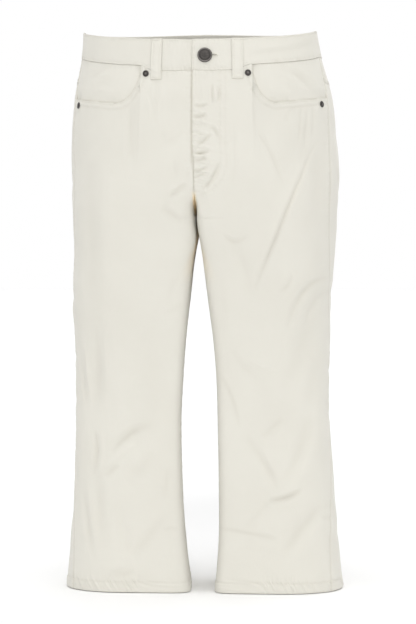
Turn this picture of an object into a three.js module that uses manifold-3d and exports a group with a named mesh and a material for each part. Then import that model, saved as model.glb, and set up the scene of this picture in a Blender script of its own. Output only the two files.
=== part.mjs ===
// Cropped flared five-pocket trousers in cotton twill, filled out as worn, with the legs and the waist open.
// Millimetres, +Z up. The front faces -Y and the wearer's left is +X. The origin is the middle of the waist.
import * as THREE from "three";
import { mergeVertices } from "three/addons/utils/BufferGeometryUtils.js";
import Module from "manifold-3d";

// ---------------------------------------------------------------- cloth and clearances
const CLOTH = 1.4; // wall of the body cloth
const HEM = 2.6; // wall of the turned-up hem
const HEM_DEPTH = 15;
const POCKET_CLOTH = 1.2;
const GAP = 0.3; // between neighbouring pieces
const SEAM = 0.001; // what each panel stops short of a seam, as a share of the panel's width

// ---------------------------------------------------------------- the form
// Horizontal sections of the outer surface. Outer and inner are each leg's extents away from the middle;
// above the crotch only outer counts. Front and back are along Y. The seam columns are degrees that the
// side seam and the inseam lie forward of the widest point. Full is the roundness: 2 is an ellipse.
const SECTION_COLUMNS = [
  "z", "rightOuter", "rightInner", "leftInner", "leftOuter", "front", "back", "side", "inseam", "full",
];
const SECTIONS = [
  [12, 152, 0.2, 0.2, 147, -99, 104, 4, 0, 2.1],
  [-34, 154.5, 0.2, 0.2, 156, -107, 113, 8, 0, 2.15],
  [-86, 164, 0.2, 0.2, 170, -113, 124, 13, 0, 2.2],
  [-138, 169, 0.2, 0.2, 175.5, -115, 132, 16, 0, 2.25],
  [-190, 169, 0.3, 0.3, 179.5, -113, 132, 21, 0, 2.35],
  [-242, 167.5, 0.6, 0.8, 177, -108, 118, 25.5, 0, 2.5],
  [-294, 165, 8.1, 7.8, 173, -101, 96, 27, 13, 2.45],
  [-346, 164, 13.4, 14.1, 169, -94, 82, 22, 21, 2.4],
  [-398, 162.5, 19, 20.5, 167.5, -86, 70, 15.5, 25, 2.35],
  [-450, 161, 22.8, 24.3, 166.5, -79, 61, 9, 25, 2.35],
  [-502, 161.5, 25.3, 25.5, 168, -75, 59, 10, 25, 2.35],
  [-580, 164, 24, 26.8, 173, -73, 64, 21, 27, 2.3],
  [-650, 169, 20.2, 26.8, 178, -74, 71, 30, 29, 2.25],
  [-718, 175, 13, 22, 185, -77, 80, 36.5, 30, 2.2],
].map((row) => Object.fromEntries(SECTION_COLUMNS.map((name, i) => [name, row[i]])));
const HEM_LEVEL = -718;
const CROTCH = -242; // where the four panels meet
const RISE = { front: -203, back: -125, roundness: 1.6 }; // where each crotch curve starts to turn under
const THIGH = { from: -100, to: -330, reach: 0.5 }; // further out, the torso narrows slowly into the legs

// Where the legs face each other their sections are squarer, and the front's first shares pass that side: a
// turn in degrees, within a share. The right leg's inner side also slants away from the left leg towards the
// back, fully below a level.
const INNER = { full: 9, turn: 42, within: 0.016, slant: 13, slantBelow: -275 };

// The largest folds of the filled legs, as straight troughs (depth > 0) or ridges (depth < 0) seen square on
// to the face that they lie on.
const FOLDS = [
  { face: "front", x1: 138, z1: -150, x2: 62, z2: -300, width: 26, depth: 3.5 },
  { face: "front", x1: 150, z1: -165, x2: 84, z2: -310, width: 30, depth: -2.5 },
  { face: "front", x1: 145, z1: -370, x2: 105, z2: -560, width: 40, depth: 2.5 },
  { face: "front", x1: -134, z1: -350, x2: -128, z2: -590, width: 28, depth: 3 },
  { face: "front", x1: -105, z1: -545, x2: -50, z2: -500, width: 24, depth: 2.5 },
  { face: "front", x1: 160, z1: -620, x2: 100, z2: -690, width: 28, depth: 2.5 },
  { face: "back", x1: -40, z1: -262, x2: -140, z2: -235, width: 26, depth: 3 },
  { face: "back", x1: 40, z1: -265, x2: 145, z2: -245, width: 26, depth: 3 },
  { face: "back", x1: -60, z1: -440, x2: -145, z2: -415, width: 26, depth: 3 },
  { face: "back", x1: 60, z1: -430, x2: 148, z2: -455, width: 26, depth: 3 },
];

// ---------------------------------------------------------------- waistband, fly, pockets, trims
const WAIST_DIP = { front: -18, back: 7, scoop: 2.5 }; // top edge at the middle, against 0 at the sides
const BAND = { front: 40, side: 34, back: 37, outside: 0.8, wall: 2.6 };
const NARROWS = { from: 0.32, to: 0.42 }; // where the band goes from its front depth to its side depth
const BAND_COLUMNS = 54; // once round the waist, so that the band's two ends lie column on column
const BAND_STEP = 4 / BAND_COLUMNS;
const LAP_COLUMNS = 2;
const TAB = { end: -0.016, flat: 0.03, ramp: 0.12 }; // the buttoned end, and the lower one sinking beneath it
const UNDERLAP = TAB.end + LAP_COLUMNS * BAND_STEP; // where the lower end stops
const FLY = { edge: -0.012, until: -150, gone: -170, flat: -207, stitched: 0.01, ramp: 0.07 };
const MOUTH = { startRight: 0.412, startLeft: 0.436, bend: 0.6, bendLevel: -98, sideLevel: -88 };
const FACING = { from: 0.34, bottom: -120 };
const YOKE = { side: 33, back: 60 };
const BACK_POCKET = { from: 1.29, to: 1.745, below: 16, height: 118, point: 16, taper: 0.03 };
const LOOP = { width: 14, wall: 1.6, stand: 2.4, tail: 12 };
const LOOPS = [
  { name: "belt_loop_front_right", at: -0.293 },
  { name: "belt_loop_front_left", at: 0.331 },
  { name: "belt_loop_side_right", at: -1.22 },
  { name: "belt_loop_side_left", at: 1.22 },
  { name: "belt_loop_back", at: 2 },
];
const BUTTON = { at: 0.086, level: -39, radius: 9.3, rim: 1.4, dome: 2.9, post: 2.1, eye: 2.8 };
const RIVET = { radius: 4.1, rim: 0.7, dome: 1.5 };
const RIVETS = [
  { name: "rivet_inner_right", at: -0.372, level: -61 },
  { name: "rivet_inner_left", at: 0.405, level: -61 },
  { name: "rivet_outer_right", at: -0.93, level: -97 },
  { name: "rivet_outer_left", at: 0.93, level: -97 },
];

// ---------------------------------------------------------------- finishes
const finish = (color, roughness, metalness) => ({ color, roughness, metalness });
const TWILL = finish(0xe6e0d4, 0.9, 0);
const BAND_TWILL = finish(0xe9e4d8, 0.88, 0);
const METAL = finish(0x4b4844, 0.42, 1);

// ---------------------------------------------------------------- the outer surface
const RAD = Math.PI / 180;
const mix = (a, b, t) => a + (b - a) * t;
const smooth = (t) => {
  const c = Math.min(1, Math.max(0, t));
  return c * c * (3 - 2 * c);
};

// The section at a level: a cubic through the table's rows, with each row's slope taken from its neighbours.
function section(z) {
  const last = SECTIONS.length - 2;
  const k = Math.min(last, Math.max(0, SECTIONS.findIndex((row) => row.z <= z) - 1));
  const i = z <= HEM_LEVEL ? last : k;
  const [a, b] = [SECTIONS[i], SECTIONS[i + 1]];
  const [before, after] = [SECTIONS[Math.max(0, i - 1)], SECTIONS[Math.min(last + 1, i + 2)]];
  const t = (z - a.z) / (b.z - a.z);
  const span = b.z - a.z;
  const found = {};
  for (const key of Object.keys(a)) {
    const slopeA = (span * (b[key] - before[key])) / (b.z - before.z);
    const slopeB = (span * (after[key] - a[key])) / (after.z - a.z);
    found[key] =
      a[key] * (1 + 2 * t) * (1 - t) ** 2 +
      slopeA * t * (1 - t) ** 2 +
      b[key] * t * t * (3 - 2 * t) -
      slopeB * t * t * (1 - t);
  }
  return found;
}

// How far a section has turned from one torso ring, 0, into two leg rings, 1: along the crotch curve at the
// middle, and slowly further out.
function split(z, start, fromMiddle) {
  const t = Math.min(1, Math.max(0, (start - z) / (start - CROTCH)));
  const curve = 1 - (1 - t ** RISE.roundness) ** (1 / RISE.roundness);
  return mix(curve, smooth((THIGH.from - z) / (THIGH.from - THIGH.to)), smooth(fromMiddle / THIGH.reach));
}

// A point on a rounded section with half-widths a and b, in the direction (x, y).
function rounded(a, b, full, x, y) {
  const r = ((Math.abs(x) / a) ** full + (Math.abs(y) / b) ** full) ** (-1 / full);
  return [x * r, y * r];
}

function foldDepth(face, x, z) {
  let depth = 0;
  for (const f of FOLDS) {
    if (f.face !== face) continue;
    const [dx, dz] = [f.x2 - f.x1, f.z2 - f.z1];
    const t = Math.min(1, Math.max(0, ((x - f.x1) * dx + (z - f.z1) * dz) / (dx * dx + dz * dz)));
    const away = Math.hypot(x - f.x1 - t * dx, z - f.z1 - t * dz) / f.width;
    depth += f.depth * Math.exp(-2 * away * away) * Math.sin(Math.PI * mix(0.12, 0.88, t));
  }
  return depth;
}

// The outer surface. Share runs round one half of the garment: 0 is the middle of the front or the front edge
// of the inseam, 1 the side seam and 2 the middle of the back or the back edge of the inseam.
function surface(half, share, z) {
  const s = section(z);
  const outer = half > 0 ? s.leftOuter : s.rightOuter;
  const inner = half > 0 ? s.leftInner : s.rightInner;
  const middle = (s.front + s.back) / 2;
  const depth = (s.back - s.front) / 2;
  const front = share < 1;
  const w = split(z, front ? RISE.front : RISE.back, front ? share : 2 - share);
  const torso = (front ? share * (90 - s.side) : mix(90 - s.side, 180, share - 1)) * RAD;
  const seam = 180 - s.side;
  const quick = INNER.turn * (1 - Math.exp(-share / INNER.within));
  const inFront = s.inseam + quick + (seam - s.inseam - INNER.turn) * share;
  const leg = (front ? inFront : mix(seam, 360 + s.inseam, share - 1)) * RAD;
  const legFull = mix(s.full, INNER.full, smooth(Math.cos(leg) / 0.8));
  const [tx, ty] = rounded(outer, depth, s.full, Math.sin(torso), -Math.cos(torso));
  const [lx, ly] = rounded((outer - inner) / 2, depth, legFull, -Math.cos(leg), -Math.sin(leg));
  const inward = Math.max(0, (-2 * lx) / (outer - inner)) ** 3;
  const slant = half < 0 ? INNER.slant * smooth((CROTCH - z) / (CROTCH - INNER.slantBelow)) : 0;
  const x = mix(tx, (outer + inner) / 2 + lx + (slant * inward * ly) / (2 * depth), w);
  const y = mix(ty, ly, w);
  const fold = foldDepth(y < 0 ? "front" : "back", half * x, z) * Math.min(1, Math.abs(y) / 40);
  return new THREE.Vector3(half * x, middle + y + Math.sign(-y) * fold, z);
}

// The outward direction, from the surface's two slopes.
function outward(half, share, z) {
  const STEP = 0.004;
  const round = surface(half, share + STEP, z).sub(surface(half, share - STEP, z));
  const down = surface(half, share, z - 1).sub(surface(half, share, z + 1));
  return round.cross(down).normalize().multiplyScalar(-half);
}

// A place given by its signed share round the waist, from the middle of the front: left is positive.
function place(at, z) {
  const wrapped = at > 2 ? at - 4 : at < -2 ? at + 4 : at;
  return { half: wrapped < 0 ? -1 : 1, share: Math.abs(wrapped), z };
}

// The waistband's top edge dips to the front and rises to the back; the band is deeper over the fly.
function topLevel(share) {
  if (share < 1) return WAIST_DIP.front * (1 - share ** WAIST_DIP.scoop);
  return WAIST_DIP.back * Math.sin((Math.PI / 2) * (share - 1)) ** 2;
}

function seamLevel(share) {
  const narrow = smooth((share - NARROWS.from) / (NARROWS.to - NARROWS.from));
  const depth = share < 1 ? mix(BAND.front, BAND.side, narrow) : mix(BAND.side, BAND.back, share - 1);
  return topLevel(share) - depth;
}

const yokeLevel = (share) => seamLevel(share) - mix(YOKE.side, YOKE.back, share - 1);

// The front's upper edge at the pocket mouth: a quarter of an ellipse, then a straight line to the side.
function mouthLevel(start, share) {
  const { bend, bendLevel, sideLevel } = MOUTH;
  if (share >= bend) return mix(bendLevel, sideLevel, (share - bend) / (1 - bend));
  const across = (bend - share) / (bend - start);
  return mix(seamLevel(start), bendLevel, Math.sqrt(Math.max(0, 1 - across * across)));
}

// ---------------------------------------------------------------- solids
// A closed wall over a grid of places. at(i, j) gives the place; under(i, j) and over(i, j) give how far the
// wall's two faces lie outside the surface.
function wall(columns, rows, at, under, over) {
  const points = [];
  for (const offset of [under, over]) {
    for (let j = 0; j <= rows; j++) {
      for (let i = 0; i <= columns; i++) {
        const p = at(i, j);
        const n = outward(p.half, p.share, p.z);
        const point = surface(p.half, p.share, p.z).addScaledVector(n, offset(i, j));
        points.push(point.x, point.y, point.z);
      }
    }
  }
  const across = columns + 1;
  const layer = across * (rows + 1);
  const faces = [];
  const quad = (a, b, c, d) => faces.push(a, b, c, a, c, d);
  for (let j = 0; j < rows; j++) {
    for (let i = 0; i < columns; i++) {
      const a = j * across + i;
      quad(layer + a, layer + a + 1, layer + a + across + 1, layer + a + across);
      quad(a, a + across, a + across + 1, a + 1);
    }
  }
  for (let i = 0; i < columns; i++) {
    const b = rows * across + i;
    quad(i, i + 1, layer + i + 1, layer + i);
    quad(b + 1, b, layer + b, layer + b + 1);
  }
  for (let j = 0; j < rows; j++) {
    const a = j * across;
    const b = a + columns;
    quad(a + across, a, layer + a, layer + a + across);
    quad(b, b + across, layer + b + across, layer + b);
  }
  const geometry = new THREE.BufferGeometry();
  geometry.setAttribute("position", new THREE.Float32BufferAttribute(points, 3));
  geometry.setIndex(faces);
  return facingOut(geometry);
}

function facingOut(geometry) {
  const p = geometry.getAttribute("position");
  const index = geometry.index.array;
  const [a, b, c] = [new THREE.Vector3(), new THREE.Vector3(), new THREE.Vector3()];
  let volume = 0;
  for (let i = 0; i < index.length; i += 3) {
    a.fromBufferAttribute(p, index[i]);
    b.fromBufferAttribute(p, index[i + 1]);
    c.fromBufferAttribute(p, index[i + 2]);
    volume += a.dot(b.cross(c));
  }
  if (volume < 0) {
    for (let i = 0; i < index.length; i += 3) [index[i + 1], index[i + 2]] = [index[i + 2], index[i + 1]];
  }
  geometry.computeVertexNormals();
  return geometry;
}

const kernel = await Module();
kernel.setup();

function solid(geometry) {
  const bare = (geometry.index ? geometry.toNonIndexed() : geometry.clone()).deleteAttribute("normal");
  bare.deleteAttribute("uv");
  const merged = mergeVertices(bare, 1e-3);
  return new kernel.Manifold(
    new kernel.Mesh({
      numProp: 3,
      vertProperties: new Float32Array(merged.attributes.position.array),
      triVerts: new Uint32Array(merged.index.array),
    }),
  );
}

function cut(geometry, cutter) {
  const mesh = solid(geometry).subtract(solid(cutter)).getMesh();
  const made = new THREE.BufferGeometry();
  made.setAttribute("position", new THREE.BufferAttribute(mesh.vertProperties, 3));
  made.setIndex(new THREE.BufferAttribute(mesh.triVerts, 1));
  made.computeVertexNormals();
  return made;
}

const garment = new THREE.Group();

function add(name, geometry, look) {
  const mesh = new THREE.Mesh(geometry, new THREE.MeshStandardMaterial(look));
  mesh.name = name;
  garment.add(mesh);
  return mesh;
}

// ---------------------------------------------------------------- legs and seat
const UPPER_ROWS = 8;
const TURN_ROWS = 6;
const LEG_ROWS = 12;
const PANEL_ROWS = UPPER_ROWS + TURN_ROWS + LEG_ROWS;

// The levels down a panel whose upper edge is at top: even rows to the start of the crotch curve, rows that
// close up as the curve flattens, then even rows to the hem, whose fold has a row of its own.
function panelLevel(j, top, start) {
  if (j <= UPPER_ROWS) return mix(top, start, j / UPPER_ROWS);
  const turn = (j - UPPER_ROWS) / TURN_ROWS;
  if (turn <= 1) return mix(start, CROTCH, Math.sin((Math.PI / 2) * turn));
  const leg = (j - UPPER_ROWS - TURN_ROWS) / (LEG_ROWS - 1);
  return leg > 1 ? HEM_LEVEL : mix(CROTCH, HEM_LEVEL + HEM_DEPTH, leg);
}

const inside = (rows) => (i, j) => -(j >= rows - 1 ? HEM : CLOTH);

// Shares that the band and the front both have a column at, so that they follow the narrowing together.
const NARROWING = [0, 0.5, 1].map((t) => mix(NARROWS.from, NARROWS.to, t));

const mouthStart = (half) => (half > 0 ? MOUTH.startLeft : MOUTH.startRight);

// The front's columns: close together at the fly and inseam and round the bend of the pocket mouth.
const FLY_COLUMNS = [0.01, 0.026, 0.05, 0.075, 0.11, 0.16, 0.25];
const MOUTH_COLUMNS = [0.09, 0.36]; // of the way from where the mouth starts to its bend
const SIDE_COLUMNS = [0.7, 0.8, 0.9];
const CLOSEST = 0.01; // between two columns
const frontShares = (half) => {
  const start = mouthStart(half);
  const bend = MOUTH_COLUMNS.map((t) => mix(start, MOUTH.bend, t));
  const narrowing = NARROWING.filter((share) => share < start - CLOSEST);
  return [SEAM, ...FLY_COLUMNS, ...narrowing, start, ...bend, MOUTH.bend, ...SIDE_COLUMNS, 1 - SEAM];
};

function frontPanel(half) {
  const shares = frontShares(half);
  const start = mouthStart(half);
  const at = (i, j) => {
    const share = shares[i];
    const top = share <= start ? seamLevel(share) - GAP : mouthLevel(start, share);
    const z = panelLevel(j, top, RISE.front);
    const lap = half > 0 ? mix(FLY.edge, SEAM, smooth((FLY.until - z) / (FLY.until - FLY.gone))) : SEAM;
    return { half, share: i === 0 ? lap : share, z };
  };
  const lift = (i, j) => {
    const { share, z } = at(i, j);
    const down = 1 - smooth((FLY.gone - z) / (FLY.gone - FLY.flat));
    return half > 0 ? (CLOTH + GAP) * down * (1 - smooth((share - FLY.stitched) / FLY.ramp)) : 0;
  };
  const under = inside(PANEL_ROWS);
  return wall(shares.length - 1, PANEL_ROWS, at, (i, j) => under(i, j) + lift(i, j), lift);
}

const BACK_COLUMNS = 12;
const backShare = (i) => Math.min(2 - SEAM, Math.max(1 + SEAM, 1 + i / BACK_COLUMNS));

function backPanel(half) {
  const at = (i, j) => {
    const share = backShare(i);
    return { half, share, z: panelLevel(j, yokeLevel(share) - GAP, RISE.back) };
  };
  return wall(BACK_COLUMNS, PANEL_ROWS, at, inside(PANEL_ROWS), () => 0);
}

function yoke(half) {
  const ROWS = 2;
  const at = (i, j) => {
    const share = backShare(i);
    return { half, share, z: mix(seamLevel(share) - GAP, yokeLevel(share), j / ROWS) };
  };
  return wall(BACK_COLUMNS, ROWS, at, () => -CLOTH, () => 0);
}

// Behind the pocket mouth, on the front's own columns.
function pocketFacing(half) {
  const shares = frontShares(half).filter((share) => share >= FACING.from);
  const ROWS = 3;
  const at = (i, j) => {
    const share = shares[i];
    return { half, share, z: mix(seamLevel(share) - 2 * GAP, FACING.bottom, j / ROWS) };
  };
  const over = -CLOTH - GAP;
  return wall(shares.length - 1, ROWS, at, () => over - POCKET_CLOTH, () => over);
}

// Five-sided, with its point down. It lies on the back panel's own columns and rows, held to the pocket's
// outline, with rows that fall outside it kept a hair apart along its edge.
function backPocket(half) {
  const HAIR = 0.4;
  const firstColumn = Math.floor((BACK_POCKET.from - 1) * BACK_COLUMNS);
  const columns = Math.ceil((BACK_POCKET.to - 1) * BACK_COLUMNS) - firstColumn;
  const [firstRow, rows] = [1, UPPER_ROWS + 4];
  const at = (i, j) => {
    const v = j / rows;
    const [from, to] = [BACK_POCKET.from + BACK_POCKET.taper * v, BACK_POCKET.to - BACK_POCKET.taper * v];
    const share = Math.min(to, Math.max(from, backShare(firstColumn + i)));
    const top = yokeLevel(share) - BACK_POCKET.below;
    const point = BACK_POCKET.point * (1 - Math.abs((2 * (share - from)) / (to - from) - 1));
    const level = panelLevel(firstRow + j, yokeLevel(share) - GAP, RISE.back);
    const bottom = top - BACK_POCKET.height - point;
    return { half, share, z: Math.min(top - HAIR * j, Math.max(bottom + HAIR * (rows - j), level)) };
  };
  return wall(columns, rows, at, () => GAP, () => GAP + POCKET_CLOTH);
}

for (const [word, half] of [["right", -1], ["left", 1]]) {
  add(`front_${word}`, frontPanel(half), TWILL);
  add(`pocket_facing_${word}`, pocketFacing(half), TWILL);
  add(`back_${word}`, backPanel(half), TWILL);
  add(`yoke_${word}`, yoke(half), TWILL);
  add(`back_pocket_${word}`, backPocket(half), TWILL);
}

// ---------------------------------------------------------------- waistband
// One doubled strip all the way round. It starts beneath the buttoned end and finishes on top of it.
function waistband() {
  const ROWS = 2;
  const shaped = [...NARROWING, MOUTH.startRight, MOUTH.startLeft];
  const count = BAND_COLUMNS + LAP_COLUMNS + 1;
  const even = Array.from({ length: count }, (_, i) => UNDERLAP - i * BAND_STEP).filter((at) => {
    const { share } = place(at, 0);
    return share < shaped[0] - BAND_STEP / 4 || share > MOUTH.startLeft + BAND_STEP / 4;
  });
  const extra = [...shaped, 1].flatMap((share) => [-share, share - 4]);
  const along = [...even, ...extra].sort((a, b) => b - a);
  const at = (i, j) => {
    const p = place(along[i], 0);
    return { ...p, z: mix(topLevel(p.share), seamLevel(p.share), j / ROWS) };
  };
  const sink = (i) => -(BAND.wall + GAP) * (1 - smooth((TAB.end - TAB.flat - along[i]) / TAB.ramp));
  const over = (i) => BAND.outside + sink(i);
  return wall(along.length - 1, ROWS, at, (i) => over(i) - BAND.wall, over);
}

// Something turned about its own axis, set on the surface with that axis pointing out.
function setOut(mesh, at, level, offset) {
  const p = place(at, level);
  const n = outward(p.half, p.share, p.z);
  mesh.quaternion.setFromUnitVectors(new THREE.Vector3(0, 1, 0), n);
  mesh.position.copy(surface(p.half, p.share, p.z).addScaledVector(n, offset));
  mesh.updateMatrixWorld(true);
  return mesh;
}

// The eye of the buttonhole goes through the upper end and stops short of the one beneath.
const EYE_TOP = BAND.outside + 1;
const EYE_BOTTOM = BAND.outside - BAND.wall - 1.5 * GAP;
const eye = setOut(
  new THREE.Mesh(new THREE.CylinderGeometry(BUTTON.eye, BUTTON.eye, EYE_TOP - EYE_BOTTOM, 16)),
  BUTTON.at,
  BUTTON.level,
  (EYE_TOP + EYE_BOTTOM) / 2,
);
add("waistband", cut(waistband(), eye.geometry.clone().applyMatrix4(eye.matrixWorld)), BAND_TWILL);

// ---------------------------------------------------------------- belt loops
function beltLoop(at) {
  const [COLUMNS, ROWS] = [2, 12];
  const share = Math.abs(at);
  const top = topLevel(share);
  const seam = seamLevel(share);
  const step = surface(1, share + 0.01, -30).distanceTo(surface(1, share - 0.01, -30)) / 0.02;
  const wide = LOOP.width / step;
  const places = (i, j) => place(at + wide * (i / COLUMNS - 0.5), mix(top, seam - LOOP.tail, j / ROWS));
  const under = (i, j) => {
    const t = j / ROWS;
    const foot = smooth((t - 0.72) / 0.2) * BAND.outside;
    return BAND.outside + GAP - foot + LOOP.stand * smooth(t / 0.2) * smooth((1 - t) / 0.24);
  };
  return wall(COLUMNS, ROWS, places, under, (i, j) => under(i, j) + LOOP.wall);
}

for (const loop of LOOPS) add(loop.name, beltLoop(loop.at), TWILL);

// ---------------------------------------------------------------- button and rivets
// A tack button: a domed cap with a raised rim, on a post that passes through the buttonhole.
function tackButton() {
  const reach = BAND.wall + 2 * GAP - 0.1;
  const profile = [
    [0, -reach],
    [BUTTON.post, -reach],
    [BUTTON.post, 0],
    [BUTTON.radius - 1, 0],
    [BUTTON.radius, BUTTON.rim * 0.5],
    [BUTTON.radius - 0.3, BUTTON.rim * 1.4],
    [BUTTON.radius - 1.3, BUTTON.rim * 1.5],
    [BUTTON.radius - 2, BUTTON.rim * 1.15],
    [BUTTON.radius * 0.4, BUTTON.dome],
    [0, BUTTON.dome],
  ];
  return new THREE.LatheGeometry(profile.map(([r, h]) => new THREE.Vector2(r, h)), 24);
}

setOut(add("waist_button", tackButton(), METAL), BUTTON.at, BUTTON.level, BAND.outside + GAP);

function rivet() {
  const profile = [
    [0, 0],
    [RIVET.radius, 0],
    [RIVET.radius, RIVET.rim],
    [RIVET.radius * 0.6, RIVET.rim * 1.3],
    [RIVET.radius * 0.35, RIVET.dome],
    [0, RIVET.dome],
  ];
  return new THREE.LatheGeometry(profile.map(([r, h]) => new THREE.Vector2(r, h)), 16);
}

for (const r of RIVETS) setOut(add(r.name, rivet(), METAL), r.at, r.level, GAP);

export default garment;
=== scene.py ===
"""Cropped flared five-pocket trousers in cream cotton twill: every finished surface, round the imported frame.

Each piece is a wall of cloth worked out with numpy on the garment's own form. A place on the garment is a
half (left +1, right -1), a share round that half (0 front middle or inseam, 1 side seam, 2 back middle or
inseam) and a level. Sizes are in millimetres, and become metres where a mesh is made.
"""
import math

import bpy
import numpy as np
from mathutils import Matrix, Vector


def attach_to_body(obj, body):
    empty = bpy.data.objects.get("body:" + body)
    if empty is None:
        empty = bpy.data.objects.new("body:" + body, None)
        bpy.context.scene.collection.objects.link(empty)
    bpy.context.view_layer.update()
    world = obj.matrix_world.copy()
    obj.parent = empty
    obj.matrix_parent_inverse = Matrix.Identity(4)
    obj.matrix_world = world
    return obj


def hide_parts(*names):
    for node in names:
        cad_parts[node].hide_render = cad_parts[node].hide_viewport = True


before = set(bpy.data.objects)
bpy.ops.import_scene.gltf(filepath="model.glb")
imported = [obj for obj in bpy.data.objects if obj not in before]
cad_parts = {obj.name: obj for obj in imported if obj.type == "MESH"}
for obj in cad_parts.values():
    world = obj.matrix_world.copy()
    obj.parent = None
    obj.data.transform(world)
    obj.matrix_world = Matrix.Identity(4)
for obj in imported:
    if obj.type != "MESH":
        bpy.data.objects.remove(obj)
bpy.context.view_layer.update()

MM = 0.001

# ------------------------------------------------------------------ cloth
CLOTH = 1.4
HEM_CLOTH = 2.6
POCKET_CLOTH = 1.2
GAP = 0.3
HEM_LEVEL = -718.0
HEM_DEPTH = 15.0
# About how many millimetres a whole share is, where puckers run round the waist.
ROUND = {"front": 180.0, "back": 190.0}
HEM_ROW = HEM_LEVEL + HEM_DEPTH - 2.0
CROTCH = -242.0
RISE = {"front": -203.0, "back": -125.0, "roundness": 1.6}
THIGH = {"from": -100.0, "to": -330.0, "reach": 0.5}

# Horizontal sections of the form, from the waist down to the hem.
SECTION_COLUMNS = (
    "z", "right_outer", "right_inner", "left_inner", "left_outer", "front", "back", "side", "inseam", "full",
)
SECTIONS = np.array([
    (12, 152, 0.2, 0.2, 147, -99, 104, 4, 0, 2.1),
    (-34, 154.5, 0.2, 0.2, 156, -107, 113, 8, 0, 2.15),
    (-86, 164, 0.2, 0.2, 170, -113, 124, 13, 0, 2.2),
    (-138, 169, 0.2, 0.2, 175.5, -115, 132, 16, 0, 2.25),
    (-190, 169, 0, 0, 179.5, -113, 132, 21, 0, 2.35),
    (-242, 167.5, -0.3, -0.3, 177, -108, 118, 25.5, 0, 2.5),
    (-294, 165, 8.1, 7.8, 173, -101, 96, 27, 13, 2.45),
    (-346, 164, 13.4, 14.1, 169, -94, 82, 22, 21, 2.4),
    (-398, 162.5, 19, 20.5, 167.5, -86, 70, 15.5, 25, 2.35),
    (-450, 161, 22.8, 24.3, 166.5, -79, 61, 9, 25, 2.35),
    (-502, 161.5, 25.3, 25.5, 168, -75, 59, 10, 25, 2.35),
    (-580, 164, 24, 26.8, 173, -73, 64, 21, 27, 2.3),
    (-650, 169, 20.2, 26.8, 178, -74, 71, 30, 29, 2.25),
    (-718, 175, 13, 22, 185, -77, 80, 36.5, 30, 2.2),
])

WAIST_DIP = {"front": -18.0, "back": 7.0, "scoop": 2.5}
BAND = {"front": 40.0, "side": 34.0, "back": 37.0, "outside": 0.8, "wall": 2.6}
NARROWS = {"from": 0.32, "to": 0.42}
BAND_STEP = 4 / 54
TAB = {"end": -0.016, "flat": 0.03, "ramp": 0.12}
UNDERLAP = TAB["end"] + 2 * BAND_STEP
FLY = {
    "edge": -0.012, "until": -150.0, "gone": -170.0, "flat": -207.0, "stitched": 0.01, "ramp": 0.07,
    "eased": 0.05, "lumps_top": -92.0, "lumps_foot": -226.0,
}
MOUTH = {"start_right": 0.412, "start_left": 0.436, "bend": 0.6, "bend_level": -98.0, "side_level": -88.0}
FACING = {"from": 0.34, "bottom": -120.0, "lift": 1.6, "gape": 1.2}
YOKE = {"side": 33.0, "back": 60.0}
BACK_POCKET = {
    "from": 1.29, "to": 1.745, "below": 16.0, "width": 86.0, "height": 118.0, "point": 16.0, "taper": 0.03,
    "thin": 0.35, "full": 0.9,
}
LOOP = {"width": 14.0, "wall": 1.1, "stand": 0.6, "tail": 12.0, "level": -30.0, "row": 2.3}
BUTTON = {"at": 0.086, "level": -39.0, "steps": 96, "studs": 24, "petals": 8}

# Where the legs face each other their sections are squarer, and the front's first shares pass that side: a
# turn in degrees, within a share. The right leg's inner side also slants away from the left leg towards the
# back, fully below a level.
INNER = {"full": 9.0, "turn": 42.0, "within": 0.016, "slant": 13.0, "slant_below": -275.0}

# The largest folds of the filled legs, seen square on: face, x and z where they start and where they end,
# width, and depth.
FOLDS = (
    ("front", 138, -150, 62, -300, 26, 3.5),
    ("front", 150, -165, 84, -310, 30, -2.5),
    ("front", 145, -370, 105, -560, 40, 2.5),
    ("front", -134, -350, -128, -590, 28, 3),
    ("front", -105, -545, -50, -500, 24, 2.5),
    ("front", 160, -620, 100, -690, 28, 2.5),
    ("back", -40, -262, -140, -235, 26, 3),
    ("back", 40, -265, 145, -245, 26, 3),
    ("back", -60, -440, -145, -415, 26, 3),
    ("back", 60, -430, 148, -455, 26, 3),
)


# ------------------------------------------------------------------ the form
def mix(a, b, t):
    """From a at t = 0 to b at t = 1, in a straight line."""
    return a + (b - a) * t


def smooth(t):
    """The smooth step t * t * (3 - 2t) from 0 to 1, level outside."""
    c = np.clip(t, 0, 1)
    return c * c * (3 - 2 * c)


def bell(distance, width):
    """The Gaussian of a distance: 1 at 0, and 1 / e at the width."""
    return np.exp(-((distance / width) ** 2))


def section(z):
    """Each column of the table at the levels z: cubics through its rows, with slopes from the rows around."""
    levels = SECTIONS[:, 0]
    last = len(levels) - 2
    i = np.clip(np.searchsorted(-levels, -z, side="right") - 1, 0, last)
    before = np.maximum(i - 1, 0)
    after = np.minimum(i + 2, last + 1)
    span = levels[i + 1] - levels[i]
    t = (z - levels[i]) / span
    found = {}
    for k, name in enumerate(SECTION_COLUMNS[1:], start=1):
        v = SECTIONS[:, k]
        slope_a = span * (v[i + 1] - v[before]) / (levels[i + 1] - levels[before])
        slope_b = span * (v[after] - v[i]) / (levels[after] - levels[i])
        found[name] = (
            v[i] * (1 + 2 * t) * (1 - t) ** 2
            + slope_a * t * (1 - t) ** 2
            + v[i + 1] * t * t * (3 - 2 * t)
            - slope_b * t * t * (1 - t)
        )
    return found


def split(z, start, from_middle):
    """How far one torso ring has turned into two leg rings: along the crotch curve at the middle, which is a
    superellipse from its start down to the crotch, and slower outside."""
    t = np.clip((start - z) / (start - CROTCH), 0, 1)
    curve = 1 - (1 - t ** RISE["roundness"]) ** (1 / RISE["roundness"])
    slow = smooth((THIGH["from"] - z) / (THIGH["from"] - THIGH["to"]))
    return mix(curve, slow, smooth(from_middle / THIGH["reach"]))


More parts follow.
